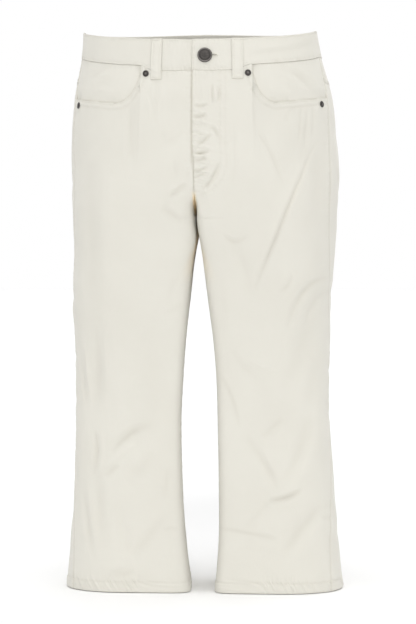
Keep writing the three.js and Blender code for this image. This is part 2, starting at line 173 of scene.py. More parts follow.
def rounded(a, b, full, x, y):
    """The point of the superellipse |x/a|^full + |y/b|^full = 1 that lies in the direction (x, y)."""
    r = ((np.abs(x) / a) ** full + (np.abs(y) / b) ** full) ** (-1 / full)
    return x * r, y * r


def fold_depth(x, y, z):
    """The large folds: a Gaussian trough round a straight line in the view square on, fading to its ends."""
    depth = np.zeros(np.shape(x))
    for face, x1, z1, x2, z2, width, deep in FOLDS:
        dx, dz = x2 - x1, z2 - z1
        t = np.clip(((x - x1) * dx + (z - z1) * dz) / (dx * dx + dz * dz), 0, 1)
        away = np.hypot(x - x1 - t * dx, z - z1 - t * dz) / width
        here = (y < 0) if face == "front" else (y >= 0)
        depth += here * deep * np.exp(-2 * away * away) * np.sin(np.pi * mix(0.12, 0.88, t))
    return depth


def arrays(*values):
    """The values as arrays of one shape."""
    return np.broadcast_arrays(*(np.asarray(value, float) for value in values))


def surface(half, share, z):
    """Points of the outer surface: a torso ring and a leg ring, both superellipses, mixed by how far they
    have split at that level."""
    half, share, z = arrays(half, share, z)
    s = section(z)
    outer = np.where(half > 0, s["left_outer"], s["right_outer"])
    inner = np.where(half > 0, s["left_inner"], s["right_inner"])
    middle = (s["front"] + s["back"]) / 2
    depth = (s["back"] - s["front"]) / 2
    front = share < 1
    w = split(z, np.where(front, RISE["front"], RISE["back"]), np.where(front, share, 2 - share))
    side = s["side"]
    torso = np.radians(np.where(front, share * (90 - side), mix(90 - side, 180, share - 1)))
    seam = 180 - side
    quick = INNER["turn"] * (1 - np.exp(-share / INNER["within"]))
    in_front = s["inseam"] + quick + (seam - s["inseam"] - INNER["turn"]) * share
    leg = np.radians(np.where(front, in_front, mix(seam, 360 + s["inseam"], share - 1)))
    leg_full = mix(s["full"], INNER["full"], smooth(np.cos(leg) / 0.8))
    tx, ty = rounded(outer, depth, s["full"], np.sin(torso), -np.cos(torso))
    lx, ly = rounded((outer - inner) / 2, depth, leg_full, -np.cos(leg), -np.sin(leg))
    inward = np.maximum(0, -2 * lx / (outer - inner)) ** 3
    slant = INNER["slant"] * smooth((CROTCH - z) / (CROTCH - INNER["slant_below"])) * (half < 0)
    x = mix(tx, (outer + inner) / 2 + lx + slant * inward * ly / (2 * depth), w)
    y = mix(ty, ly, w)
    fold = fold_depth(half * x, y, z) * np.minimum(1, np.abs(y) / 40)
    return np.stack([half * x, middle + y - np.sign(y) * fold, z], axis=-1)


def outward(half, share, z):
    """Unit normals of the outer surface, from its two slopes."""
    half, share, z = arrays(half, share, z)
    step = 0.004
    round_it = surface(half, share + step, z) - surface(half, share - step, z)
    down = surface(half, share, z - 1) - surface(half, share, z + 1)
    n = np.cross(round_it, down) * -half[..., None]
    return n / np.linalg.norm(n, axis=-1, keepdims=True)


def top_level(share):
    """The band's top edge: it dips to the front as a power of the share, and rises to the back as a squared
    sine."""
    front = WAIST_DIP["front"] * (1 - np.abs(share) ** WAIST_DIP["scoop"])
    back = WAIST_DIP["back"] * np.sin(np.pi / 2 * (share - 1)) ** 2
    return np.where(share < 1, front, back)


def seam_level(share):
    """The band's lower edge: the top edge less the band's depth, which narrows from the front to the side and
    widens again to the back."""
    narrow = smooth((share - NARROWS["from"]) / (NARROWS["to"] - NARROWS["from"]))
    front = mix(BAND["front"], BAND["side"], narrow)
    back = mix(BAND["side"], BAND["back"], share - 1)
    return top_level(share) - np.where(share < 1, front, back)


def yoke_level(share):
    """The yoke's lower edge: below the band by a depth that grows evenly from the side to the back."""
    return seam_level(share) - mix(YOKE["side"], YOKE["back"], share - 1)


def mouth_start(half):
    """The share at which a pocket mouth starts."""
    return MOUTH["start_left"] if half > 0 else MOUTH["start_right"]


def mouth_level(half, share):
    """The front's edge at a pocket mouth: a quarter of an ellipse, then a straight line to the side seam."""
    start = mouth_start(half)
    across = np.clip((MOUTH["bend"] - share) / (MOUTH["bend"] - start), 0, 1)
    curve = mix(seam_level(start), MOUTH["bend_level"], np.sqrt(1 - across * across))
    straight = mix(MOUTH["bend_level"], MOUTH["side_level"], (share - MOUTH["bend"]) / (1 - MOUTH["bend"]))
    return np.where(share >= MOUTH["bend"], straight, curve)


def front_top(half, share):
    """A front's upper edge: just below the band, and then along the pocket mouth."""
    return np.where(share <= mouth_start(half), seam_level(share) - GAP, mouth_level(half, share))


def place(at):
    """A signed share round the whole waist, left positive, as (half, share)."""
    wrapped = np.where(at > 2, at - 4, np.where(at < -2, at + 4, at))
    return np.where(wrapped < 0, -1.0, 1.0), np.abs(wrapped)


# ------------------------------------------------------------------ creases
# Creases seen square on to the face that they lie on: a curve through three places (x or y across, z up), its
# width and depth, and the ridge beside it as a part of the depth, on the left of the way that it runs (+) or
# on its right (-). A negative depth is a ridge.
CREASES = {
    "front": (
        # left leg, front: the long pull from the pocket to the inseam, and the shallower ones beside it
        (152, -144, 114, -238, 74, -334, 2.2, 2.4, 0.2),
        (150, -146, 152, -196, 150, -256, 10, 2.2, 0.2),
        (79, -134, 98, -166, 113, -207, 3.4, 1.2, 0.3),
        (50, -122, 51, -165, 49, -206, 3, 0.6, 0.3),
        (132, -128, 137, -150, 136, -178, 8, 1.2, 0.3),
        (36, -260, 49, -272, 67, -266, 3.2, 1.4, 0.3),
        (40, -268, 60, -298, 68, -344, 8, 1.5, 0.3),
        (123, -310, 117, -328, 104, -336, 3.6, 1.2, -0.4),
        (170, -318, 138, -334, 115, -384, 4, 2.3, 0.2),
        (170, -334, 150, -350, 140, -384, 5, 1.6, 0.3),
        (152, -352, 138, -404, 108, -466, 13, 3.0, 0.2),
        (52, -397, 72, -424, 108, -432, 4.5, -1.5, 0),
        (46, -406, 60, -428, 78, -448, 5, 1.3, 0.2),
        (31, -440, 46, -470, 55, -508, 3.2, 1.9, 0.5),
        (57, -482, 65, -512, 58, -541, 2.8, -1.4, 0),
        (64, -516, 84, -550, 106, -590, 5.5, 2.2, 0.3),
        (84, -521, 96, -510, 112, -495, 6, 1.7, 0.3),
        (142, -490, 132, -538, 107, -584, 9, 2.8, 0.3),
        (150, -420, 146, -450, 142, -480, 9, 1.5, 0.3),
        (92, -600, 114, -596, 135, -586, 3.2, 2.7, 0.3),
        (60, -638, 76, -620, 94, -602, 6, 1.3, 0.3),
        (29, -636, 60, -640, 104, -650, 3.2, 2.2, 0.4),
        (163, -608, 138, -634, 108, -676, 8, 2.4, 0.4),
        (158, -622, 166, -624, 174, -622, 3.4, 1.2, 0.6),
        (168, -640, 172, -668, 176, -700, 6, 1.3, 0.5),
        (34, -310, 36, -350, 40, -396, 6, 1.1, 0.4),
        (36, -560, 34, -590, 38, -620, 6, 1.0, 0.4),
        (84, -600, 72, -632, 70, -668, 10, 1.2, 0.3),
        # beside the fly: short drags between its edge and its stitching
        (-1, -101, 9, -103, 18, -100, 1.8, 1.5, 0.5),
        (-1, -115, 8, -116, 17, -112, 1.9, 1.7, 0.5),
        (4, -152, 13, -146, 22, -136, 2.2, 1.9, -0.5),
        (-2, -160, 8, -162, 19, -159, 2.0, 2.7, -0.5),
        (-1, -169, 7, -170, 17, -166, 1.9, 1.9, 0.4),
        (0, -182, 8, -183, 19, -178, 2.0, 2.0, 0.5),
        (1, -190, 8, -189, 15, -186, 1.8, 1.4, 0.5),
        (24, -75, 23, -88, 24, -100, 1.7, 1.4, 0.5),
        (31, -79, 32, -89, 30, -98, 1.7, 1.4, -0.5),
        (21, -128, 27, -134, 33, -146, 2.4, 1.5, 0.4),
        (20, -196, 27, -186, 33, -172, 2.6, 1.9, 0.4),
        (12, -206, 20, -198, 26, -190, 2.2, 1.7, 0.4),
        # left leg, front: the short drags below the pocket mouth
        (134, -100, 132, -122, 130, -150, 2.6, 1.0, 0.5),
        (140, -98, 139, -126, 138, -158, 2.6, 0.9, 0.5),
        (147, -98, 147, -118, 146, -140, 2.4, 0.8, 0.5),
        (120, -104, 117, -112, 113, -122, 3, 0.6, 0.5),
        # right leg, front
        (-80, -99, -81, -132, -80, -174, 5, 1.4, -0.4),
        (-48, -70, -47, -88, -47, -104, 4, 0.7, 0.5),
        (-60, -86, -52, -98, -50, -124, 3.4, 0.8, 0.4),
        (-40, -132, -29, -146, -12, -132, 5, 0.9, 0.4),
        (-31, -216, -20, -208, -9, -200, 3, 1.7, 0.4),
        (-28, -170, -24, -182, -26, -196, 5, 0.8, 0.4),
        (-42, -228, -28, -238, -12, -248, 5, 1.7, 0.4),
        (-134, -170, -132, -270, -128, -380, 12, 2.2, 0.2),
        (-128, -372, -127, -430, -129, -492, 8, 2.8, 0.3),
        (-144, -404, -141, -436, -137, -476, 2.8, -1.4, 0),
        (-149, -420, -147, -450, -141, -480, 3.4, 1.2, 0),
        (-132, -512, -129, -540, -134, -572, 4, 2.2, 0.3),
        (-128, -560, -126, -610, -120, -668, 9, 2.2, 0.3),
        (-146, -590, -142, -630, -131, -682, 5, 1.7, 0.5),
        (-20, -312, -30, -330, -36, -352, 5, 1.1, 0.4),
        (-14, -346, -28, -358, -42, -362, 4.5, 0.9, 0.4),
        (-78, -447, -70, -444, -60, -442, 5, -1.1, 0),
        (-58, -380, -56, -440, -60, -500, 20, 2.2, 0),
        (-56, -505, -84, -517, -108, -542, 5, 2.7, -0.3),
        (-78, -530, -98, -544, -114, -562, 3.6, -1.3, 0),
        (-98, -557, -108, -564, -118, -571, 3.6, 1.5, -0.3),
        (-54, -538, -68, -558, -88, -576, 9, 2.2, -0.3),
        (-35, -556, -38, -576, -43, -600, 4, 1.3, 0.4),
        (-82, -677, -62, -648, -38, -616, 8, 2.4, 0.4),
        (-44, -640, -34, -636, -22, -638, 3.4, 1.1, 0.5),
        (-112, -692, -94, -696, -80, -690, 5, 1.2, 0.5),
        (-104, -600, -92, -640, -90, -672, 10, 1.2, 0.3),
        # waistband and pocket facings
        (64, -40, 96, -34, 142, -26, 4, 0.6, 0.6),
        (120, -30, 136, -24, 146, -16, 5, 0.5, 0.5),
        (118, -58, 134, -66, 150, -86, 4.5, 1.3, 0.6),
        (110, -66, 118, -78, 130, -84, 6, 0.8, 0.5),
        (-140, -64, -124, -56, -104, -48, 4, 0.8, 0.6),
        (-134, -76, -118, -70, -100, -72, 6, 0.6, 0.5),
    ),
    "back": (
        # back: drags under the seat, behind the knees and above the hems
        (-16, -232, -58, -252, -116, -246, 6, 2.4, 0.6),
        (-20, -262, -60, -288, -128, -286, 7, 2.1, 0.6),
        (18, -236, 62, -262, 118, -262, 6, 2.2, -0.6),
        (22, -272, 70, -304, 134, -306, 7, 1.9, -0.6),
        (-26, -300, -52, -318, -84, -322, 6, 1.2, 0.5),
        (-140, -150, -118, -196, -84, -226, 9, 1.4, 0.4),
        (146, -160, 122, -206, 92, -234, 9, 1.5, -0.4),
        (-40, -408, -88, -428, -148, -418, 6, 2.1, 0.6),
        (-36, -446, -80, -462, -140, -466, 7, 2.0, 0.5),
        (34, -422, 84, -440, 150, -424, 6, 2.0, -0.6),
        (40, -462, 88, -482, 146, -476, 7, 1.6, -0.5),
        (-60, -492, -86, -506, -120, -502, 6, 1.1, 0.5),
        (70, -510, 104, -522, 140, -516, 6, 1.0, -0.5),
        (-124, -540, -104, -600, -72, -650, 9, 1.5, 0.4),
        (132, -556, 110, -616, 76, -668, 9, 1.6, -0.4),
        (-60, -670, -94, -684, -132, -676, 6, 1.0, 0.5),
        (66, -660, 104, -672, 150, -660, 6, 1.0, -0.5),
        (-88, -330, -92, -364, -90, -396, 9, 1.1, 0.5),
        (96, -336, 100, -372, 96, -408, 9, 1.0, 0.5),
    ),
    "left": (
        (-40, -150, -10, -190, 30, -212, 7, 1.0, 0.5),
        (-52, -300, -16, -330, 30, -336, 7, 1.0, 0.5),
        (-40, -420, 0, -440, 40, -432, 6, 1.1, 0.5),
        (-44, -470, -4, -496, 36, -500, 7, 0.8, 0.5),
        (-50, -600, -12, -634, 24, -672, 8, 1.0, 0.5),
    ),
    "right": (
        (-44, -168, -6, -200, 38, -222, 7, 1.0, -0.5),
        (-50, -330, -10, -352, 36, -350, 7, 1.0, -0.5),
        (-46, -410, -4, -424, 38, -410, 6, 1.0, -0.5),
        (-42, -466, 0, -484, 40, -490, 7, 0.8, -0.5),
        (-50, -590, -10, -630, 30, -664, 8, 0.8, -0.5),
    ),
}
FACES = {"front": (0, (0, -1, 0)), "back": (0, (0, 1, 0)), "left": (1, (1, 0, 0)), "right": (1, (-1, 0, 0))}
CURVE_STEPS = 12
# In widths of a crease: how far it reaches, where the ridge beside it lies, and how wide that is. Also the
# power of its fading to both ends, how square on the cloth has to be, and how much narrower its painted shade
# is.
CREASE = {"reach": 3.2, "ridge_at": 1.7, "ridge_width": 1.15, "fade": 0.75, "square": 0.45, "narrower": 1.3}
# A soft unevenness of the cloth: height, length and seed of each field.
SOFT = ((0.65, 105, 1.3), (0.22, 38, 2.1))
SOFT_ROUND = 85.0


def along_curve(a, z, curve):
    """Distance from each (a, z) to a quadratic curve, the side that it lies on, and its share of the way
    along the curve."""
    start, middle, end = np.array(curve, float).reshape(3, 2)
    bend = 2 * middle - (start + end) / 2
    t = np.linspace(0, 1, CURVE_STEPS + 1)[:, None]
    line = start * (1 - t) ** 2 + bend * 2 * t * (1 - t) + end * t * t
    best = np.full(a.shape, 1e9)
    side = np.zeros(a.shape)
    way = np.zeros(a.shape)
    for k in range(CURVE_STEPS):
        (x1, z1), (dx, dz) = line[k], line[k + 1] - line[k]
        u = np.clip(((a - x1) * dx + (z - z1) * dz) / (dx * dx + dz * dz), 0, 1)
        ox, oz = a - x1 - u * dx, z - z1 - u * dz
        d = np.hypot(ox, oz)
        nearer = d < best
        best = np.where(nearer, d, best)
        side = np.where(nearer, np.sign(dx * oz - dz * ox), side)
        way = np.where(nearer, (k + u) / CURVE_STEPS, way)
    return best, side, way


def creased(p, n):
    """Height and painted shade of all creases: each is a Gaussian trough with a softer ridge beside it, fading
    to its two ends, and its painted shade is as deep as the trough is steep."""
    height, shade = np.zeros(p.shape[:-1]), np.zeros(p.shape[:-1])
    for face, curves in CREASES.items():
        axis, square = FACES[face]
        a, z = p[..., axis], p[..., 2]
        facing = smooth(n @ np.array(square, float) / CREASE["square"])
        for *curve, width, depth, ridge in curves:
            reach = CREASE["reach"] * width
            here = (a > min(curve[::2]) - reach) & (a < max(curve[::2]) + reach)
            here &= (z > min(curve[1::2]) - reach) & (z < max(curve[1::2]) + reach)
            if not here.any():
                continue
            d, side, way = along_curve(a[here], z[here], curve)
            signed = d * side * np.sign(ridge)
            beside = np.abs(ridge) * bell(signed - CREASE["ridge_at"] * width, CREASE["ridge_width"] * width)
            fade = facing[here] * np.sin(np.pi * np.clip(way, 0, 1)) ** CREASE["fade"]
            height[here] += fade * depth * (beside - bell(d, width))
            # painted shade in the trough, darker where it is steeper
            steep = min(1.0, max(0.0, depth) / width)
            shade[here] = np.maximum(shade[here], steep * fade * bell(CREASE["narrower"] * d, width))
    return height, shade


def rumple(x, y, length, seed):
    """A smooth uneven field: seven sines near one wavelength, whose directions and phases the seed sets."""
    total = np.zeros(np.broadcast(x, y).shape)
    for k in range(7):
        turn = 0.9 * k + 1.7 * seed
        wave = 2 * np.pi / (length * (0.75 + 0.11 * k))
        total += np.sin(wave * (x * math.cos(turn) + y * math.sin(turn)) + 2.3 * k * seed)
    return total / 3.5


def uneven(x, length, seed):
    """A smooth uneven wave: four sines of unrelated lengths."""
    steps = ((1.0, 0.3), (0.618, 1.9), (1.47, 4.1), (0.37, 2.7))
    return sum(np.sin(2 * np.pi * x / (length * k) + p * seed) for k, p in steps) / 2.2


def body_relief(p, n, share):
    """Height of the cloth off the form: the creases and a soft unevenness, held back at the inseams; and the
    creases' painted shade."""
    around = np.arctan2(n[..., 0], -n[..., 1]) * SOFT_ROUND
    soft = sum(high * rumple(around, p[..., 2], length, seed) for high, length, seed in SOFT)
    inseam = smooth((RISE["front"] - 50 - p[..., 2]) / 60)
    edge = smooth(np.minimum(np.abs(share), 2 - share) / 0.14)
    height, shade = creased(p, n)
    return (height + soft) * mix(1, edge, inseam), shade


# ------------------------------------------------------------------ meshes
# Millimetres between rows of points, shares between columns, and rows between a rise and the crotch.
ROW_STEP = {"front": 2.2, "back": 2.6}
SHARE_STEP = {"front": 0.0115, "back": 0.0135}
UPPER_STEP = 1.5
TURN_STEPS = 40
SIDE_SPOT, MIDDLE_SPOT = (1, 0.004, 0.012), (2, 0.004, 0.012)
SHARP = 50


def graded(low, high, step, spots=()):
    """Positions from low to high about step apart, and closer within reach of each spot (place, step, reach):
    evenly spaced in the running total of a density with a Gaussian at each spot."""
    fine = np.linspace(low, high, 4001)
    density = np.full(fine.shape, 1 / step)
    for spot, close, reach in spots:
        density += (1 / close - 1 / step) * bell(fine - spot, reach)
    total = np.concatenate([[0], np.cumsum((density[1:] + density[:-1]) / 2 * np.abs(np.diff(fine)))])
    count = max(2, int(math.ceil(total[-1])))
    return np.interp(np.linspace(0, total[-1], count + 1), total, fine)


def cloth_mesh(name, outer, inner):
    """A closed wall between two grids of points: both faces, and a strip along each of the four edges."""
    rows, columns = outer.shape[:2]
    layer = rows * columns
    points = np.concatenate([outer.reshape(-1, 3), inner.reshape(-1, 3)])
    grid = np.arange(layer).reshape(rows, columns)
    a, b = grid[:-1, :-1].ravel(), grid[:-1, 1:].ravel()
    c, d = grid[1:, 1:].ravel(), grid[1:, :-1].ravel()
    faces = [np.stack([a, d, c, b], 1), np.stack([a, b, c, d], 1) + layer]
    ring = np.concatenate([grid[0, :], grid[1:, -1], grid[-1, -2::-1], grid[-2:0:-1, 0]])
    after = np.roll(ring, -1)
    faces.append(np.stack([ring, after, after + layer, ring + layer], 1))
    faces = np.concatenate(faces)
    first, second, third = (points[faces[:, k]] for k in (0, 1, 2))
    if (first * np.cross(second, third)).sum() < 0:
        faces = faces[:, ::-1]
    return mesh_object(name, points, faces)


def mesh_object(name, points, faces):
    """A smooth mesh object from points in millimetres, its creased edges kept sharp."""
    mesh = bpy.data.meshes.new(name)
    mesh.from_pydata((points * MM).tolist(), [], faces.tolist())
    mesh.update()
    mesh.shade_smooth()
    mesh.set_sharp_from_angle(angle=math.radians(SHARP))
    piece = bpy.data.objects.new(name, mesh)
    bpy.context.scene.collection.objects.link(piece)
    return piece


def cloth_map(piece, outer):
    """A UV map in metres: across is the length along each row from its middle, and down is the level."""
    rows, columns = outer.shape[:2]
    steps = np.linalg.norm(np.diff(outer, axis=1), axis=-1)
    across = np.concatenate([np.zeros((rows, 1)), np.cumsum(steps, axis=1)], axis=1)
    across -= across[:, columns // 2][:, None]
    flat = np.stack([across, outer[..., 2]], axis=-1).reshape(-1, 2) * MM
    flat = np.concatenate([flat, flat])
    mesh = piece.data
    corners = np.zeros(len(mesh.loops), np.int32)
    mesh.loops.foreach_get("vertex_index", corners)
    layer = mesh.uv_layers.new(name="Cloth")
    layer.data.foreach_set("uv", flat[corners].astype(np.float32).ravel())


def attach(piece, name, values):
    """A number on every vertex."""
    values = values.astype(np.float32)
    piece.data.attributes.new(name, "FLOAT", "POINT").data.foreach_set("value", values)


def tint(piece, name, values):
    """A number on every vertex of the outer face, and none of it on the inner face."""
    attach(piece, name, np.concatenate([values.ravel(), np.zeros(values.size)]))


def edge_roll(distance, radius):
    """How far a rolled edge drops below the face, at a distance from the edge: a quarter circle."""
    inside = np.clip(distance / radius, 0, 1)
    return radius * (1 - np.sqrt(1 - (1 - inside) ** 2))


def wall_piece(name, half, share, z, over, under, painted_shade):
    """A piece of cloth on the form: over and under are the heights of its two faces."""
    p = surface(half, share, z)
    n = outward(half, share, z)
    outer = p + n * over[..., None]
    piece = cloth_mesh(name, outer, p + n * under[..., None])
    cloth_map(piece, outer)
    # painted shade of seams, stitch grooves and creases, on the outer face only
    tint(piece, "painted_shade", painted_shade)
    return piece


def fitted(piece, solid, slot):
    """The piece gets its finish and the body that carries it, and takes the place of a solid."""
    piece.data.materials.append(MATERIALS[slot])
    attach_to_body(piece, "root")
    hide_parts(solid)


# ------------------------------------------------------------------ materials
CREAM = (0.735, 0.716, 0.647, 1)
# Painted shade: the darker cream that seams, stitch grooves, creases and slits are mixed towards, standing in
# for their shade.
CREAM_IN_PAINTED_SHADE = (0.560, 0.530, 0.455, 1)
# Painted warm bounce light: the warmer tone mixed in deep between the legs, standing in for light that comes
# back warm there.
CREAM_IN_PAINTED_BOUNCE = (0.95, 0.80, 0.55, 1)
THREAD = (0.715, 0.694, 0.620, 1)
METAL_DARK = (0.060, 0.055, 0.052, 1)
METAL_WORN = (0.330, 0.310, 0.290, 1)
RIBS = {"turn": -27.0, "scale": 350.0}
SLUBS = (1400, 90, 1)


def put(tree, made, inputs):
    """Each input of a node gets a value, or a link from another node's output."""
    for key, value in inputs.items():
        if isinstance(value, bpy.types.NodeSocket):
            tree.links.new(value, made.inputs[key])
        else:
            made.inputs[key].default_value = value


def node(tree, kind, inputs, **settings):
    """A new shader node with its settings and its inputs."""
    made = tree.nodes.new(kind)
    for key, value in settings.items():
        setattr(made, key, value)
    put(tree, made, inputs)
    return made


def noise(tree, at, scale, detail=2):
    """The factor of a noise texture at a vector."""
    return node(tree, "ShaderNodeTexNoise", {"Vector": at, "Scale": scale, "Detail": detail}).outputs["Fac"]


def ranged(tree, value, ends):
    """A value taken from one range to another in a straight line, held at its ends."""
    return node(tree, "ShaderNodeMapRange", {"Value": value, **ends}).outputs["Result"]


def weighted(tree, value, weight, rest, clamp=False):
    """value * weight + rest, held between 0 and 1 if clamp is set."""
    settings = {"operation": "MULTIPLY_ADD", "use_clamp": clamp}
    return node(tree, "ShaderNodeMath", {0: value, 1: weight, 2: rest}, **settings).outputs["Value"]


def blend(tree, factor, low, high):
    """A colour from low at factor 0 to high at factor 1."""
    inputs = {"Factor": factor, "A": low, "B": high}
    return node(tree, "ShaderNodeMix", inputs, data_type="RGBA").outputs["Result"]


def bumped(tree, height, strength, distance):
    """The normal of a surface that is raised by a height."""
    inputs = {"Strength": strength, "Distance": distance, "Height": height}
    return node(tree, "ShaderNodeBump", inputs).outputs["Normal"]


def attribute(tree, name):
    """A number that the mesh carries on its points."""
    return node(tree, "ShaderNodeAttribute", {}, attribute_name=name).outputs["Fac"]


def material(name):
    """A new material, its node tree, and the place in the object's own frame."""
    made = bpy.data.materials.new(name)
    made.use_nodes = True
    tree = made.node_tree
    return made, tree, node(tree, "ShaderNodeTexCoord", {}).outputs["Object"]


def twill(name, strength):
    """Cotton twill: diagonal ribs, slubs and a softer grain as bump, a faint random mottle, painted shade
    where seams, stitches and creases lie low, and painted warm bounce light deep between the legs."""
    made, tree, body = material(name)
    uv = node(tree, "ShaderNodeUVMap", {}, uv_map="Cloth").outputs["UV"]
    ribs_at = node(tree, "ShaderNodeMapping", {"Vector": uv, "Rotation": (0, 0, math.radians(RIBS["turn"]))})
    wave = {"wave_type": "BANDS", "bands_direction": "X", "wave_profile": "SIN"}
    inputs = {"Vector": ribs_at.outputs["Vector"], "Scale": RIBS["scale"], "Distortion": 0.6, "Detail": 1}
    ribs = node(tree, "ShaderNodeTexWave", inputs, **wave).outputs["Fac"]
    slubs_at = node(tree, "ShaderNodeMapping", {"Vector": uv, "Scale": SLUBS})
    slubs = noise(tree, slubs_at.outputs["Vector"], 1)
    height = weighted(tree, noise(tree, body, 120, 3), 1.6, weighted(tree, ribs, 0.5, slubs))
    mottle = ranged(tree, noise(tree, body, 14, 4), {"From Min": 0.35, "From Max": 0.75, "To Max": 0.12})
    # Painted shade from the per-vertex attribute, up to 45 % towards the darker cream, with a faint random
    # mottle added.
    shade = weighted(tree, attribute(tree, "painted_shade"), 0.45, mottle, clamp=True)
    colour = blend(tree, shade, CREAM, CREAM_IN_PAINTED_SHADE)
    put(tree, tree.nodes["Principled BSDF"], {
        "Roughness": 0.88,
        "Sheen Weight": 0.22,
        "Sheen Roughness": 0.55,
        "Specular IOR Level": 0.25,
        # painted warm bounce light deep between the legs
        "Base Color": blend(tree, attribute(tree, "deep"), colour, CREAM_IN_PAINTED_BOUNCE),
        "Normal": bumped(tree, height, strength, 0.00035),
    })
    return made


def thread():
    """Cotton thread: the cloth's tone, a little deeper and smoother, with a fine twist as bump."""
    made, tree, body = material("thread")
    put(tree, tree.nodes["Principled BSDF"], {
        "Roughness": 0.7,
        "Sheen Weight": 0.2,
        "Base Color": blend(tree, noise(tree, body, 40), THREAD, CREAM),
        "Normal": bumped(tree, noise(tree, body, 3500), 0.3, 0.0001),
    })
    return made


def gunmetal():
    """Dark plated metal, worn bright on its raised parts by the attribute raised, with a fine grain."""
    made, tree, body = material("metal")
    grain = noise(tree, body, 900, 3)
    worn = node(
        tree, "ShaderNodeMath", {0: attribute(tree, "raised"), 1: grain}, operation="MULTIPLY", use_clamp=True
    )
    put(tree, tree.nodes["Principled BSDF"], {
        "Metallic": 1,
        "Roughness": ranged(tree, grain, {"To Min": 0.32, "To Max": 0.55}),
        "Base Color": blend(tree, worn.outputs["Value"], METAL_DARK, METAL_WORN),
        "Normal": bumped(tree, grain, 0.35, 0.0001),
    })
    return made


MATERIALS = {
    "twill": twill("twill", 0.5),
    "band": twill("band", 0.6),
    "thread": thread(),
    "metal": gunmetal(),
}


# ------------------------------------------------------------------ stitches
STITCH = {"pitch": 3.1, "length": 2.4, "width": 0.75, "thick": 0.45, "lift": 0.06}
TACK = {"pitch": 0.75, "length": 1.3, "width": 0.7, "thick": 0.6, "lift": 0.15}
EYE_STITCH = {**TACK, "pitch": 3, "length": 2.3}
# Each ring of a stitch: its place along the half length, and its part of the full thickness.
BEAD_RINGS = ((-0.72, 0.7), (0.0, 1.0), (0.72, 0.7))
BEAD_SIDES = 6


def laid(half, share, z, height):
    """A line on the garment as points and normals, at a height off the form."""
    n = outward(half, share, z)
    return surface(half, share, z) + n * height[..., None], n


def sewn(p, n, size):
    """Single stitches along a line: their middles, the way that they run, and their normals."""
    run = np.concatenate([[0], np.cumsum(np.linalg.norm(np.diff(p, axis=0), axis=1))])
    count = max(1, int(run[-1] // size["pitch"]))
    spots = (np.arange(count) + 0.5) * run[-1] / count

    def at(values, where):
        """The values at distances along the line."""
        return np.stack([np.interp(where, run, values[:, k]) for k in range(3)], axis=1)

    way = at(p, spots + 0.5) - at(p, spots - 0.5)
    normal = at(n, spots)
    middle = at(p, spots) + normal * size["lift"]
    return middle, way / np.linalg.norm(way, axis=1, keepdims=True), normal


def stitches(name, lines, size=STITCH):
    """Thread: each stitch is a flattened bead of rings of points, closed by a point at each end."""
    middles, ways, normals = (np.concatenate(v) for v in zip(*(sewn(p, n, size) for p, n in lines)))
    turn = np.arange(BEAD_SIDES) * 2 * np.pi / BEAD_SIDES
    bead = [(-1.0, 0.0, 0.0)]
    for along, wide in BEAD_RINGS:
        bead += [(along, wide * math.cos(t), wide * math.sin(t)) for t in turn]
    bead.append((1.0, 0.0, 0.0))
    bead = np.array(bead) * (size["length"] / 2, size["width"] / 2, size["thick"] / 2)
    across = np.cross(normals, ways)
    points = (
        middles[:, None]
        + bead[None, :, 0:1] * ways[:, None]
        + bead[None, :, 1:2] * across[:, None]
        + bead[None, :, 2:3] * normals[:, None]
    )
    k = np.arange(BEAD_SIDES)
    after = (k + 1) % BEAD_SIDES
    faces = [np.stack([np.zeros(BEAD_SIDES, int), 1 + after, 1 + k], 1)]
    last = len(bead) - 1 - BEAD_SIDES
    for low in range(1, last, BEAD_SIDES):
        high = low + BEAD_SIDES
        faces.append(np.stack([low + k, low + after, high + after], 1))
        faces.append(np.stack([low + k, high + after, high + k], 1))
    faces.append(np.stack([last + k, last + after, np.full(BEAD_SIDES, len(bead) - 1)], 1))
    every = (np.concatenate(faces)[None] + np.arange(len(middles))[:, None, None] * len(bead)).reshape(-1, 3)
    piece = mesh_object(name, points.reshape(-1, 3), every)
    piece.data.materials.append(MATERIALS["thread"])
    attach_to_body(piece, "root")
    return piece


# ------------------------------------------------------------------ seams
# Width in millimetres of the painted shade along seams and the hem's stitch row.
SEAM_SHADE_WIDTH = 1.3
NEAR, FAR = 25.0, 1e3


def near_line(p, line):
    """Distance from each point to a line of points, and how far along the line its nearest place is; FAR for
    points that are not near."""
    flat = p.reshape(-1, 3)
    here = np.all((flat > line.min(0) - NEAR) & (flat < line.max(0) + NEAR), axis=1)
    close = flat[here]
    best = np.full(len(close), FAR)
    way = np.zeros(len(close))
    run = np.concatenate([[0], np.cumsum(np.linalg.norm(np.diff(line, axis=0), axis=1))])
    for k in range(len(line) - 1):
        step = line[k + 1] - line[k]
        t = np.clip((close - line[k]) @ step / max(step @ step, 1e-9), 0, 1)
        d = np.linalg.norm(close - line[k] - t[:, None] * step, axis=1)
        nearer = d < best
        best = np.where(nearer, d, best)
        way = np.where(nearer, mix(run[k], run[k + 1], t), way)
    distance = np.full(len(flat), FAR)
    along = np.zeros(len(flat))
    distance[here], along[here] = best, way
    return distance.reshape(p.shape[:-1]), along.reshape(p.shape[:-1])


def puckers(distance, width, height, along, length, seed):
    """Height of uneven puckers beside a seam: a wave along it, which fades away from it as a Gaussian."""
    return height * uneven(along, length, seed) * bell(distance, width)


def swell(distance, at, width, height):
    """Height of cloth that is fuller at a distance from an edge: a Gaussian."""
    return height * bell(distance - at, width)


def stitched(distance, along, seed):
    """Height beside a row of stitches: a narrow groove, and short uneven puckers that cross it."""
    short = puckers(distance, width=4.5, height=0.17, along=along, length=9, seed=seed)
    return short - swell(distance, at=0, width=0.9, height=0.30)


def with_rows(height, painted_shade, rows):
    """Height and painted shade with rows of stitches added: each is a distance, a place along the row, and a
    seed.
    """
    for distance, along, seed in rows:
        height = height + stitched(distance, along, seed)
        painted_shade = np.maximum(painted_shade, row_painted_shade(distance))
    return height, painted_shade


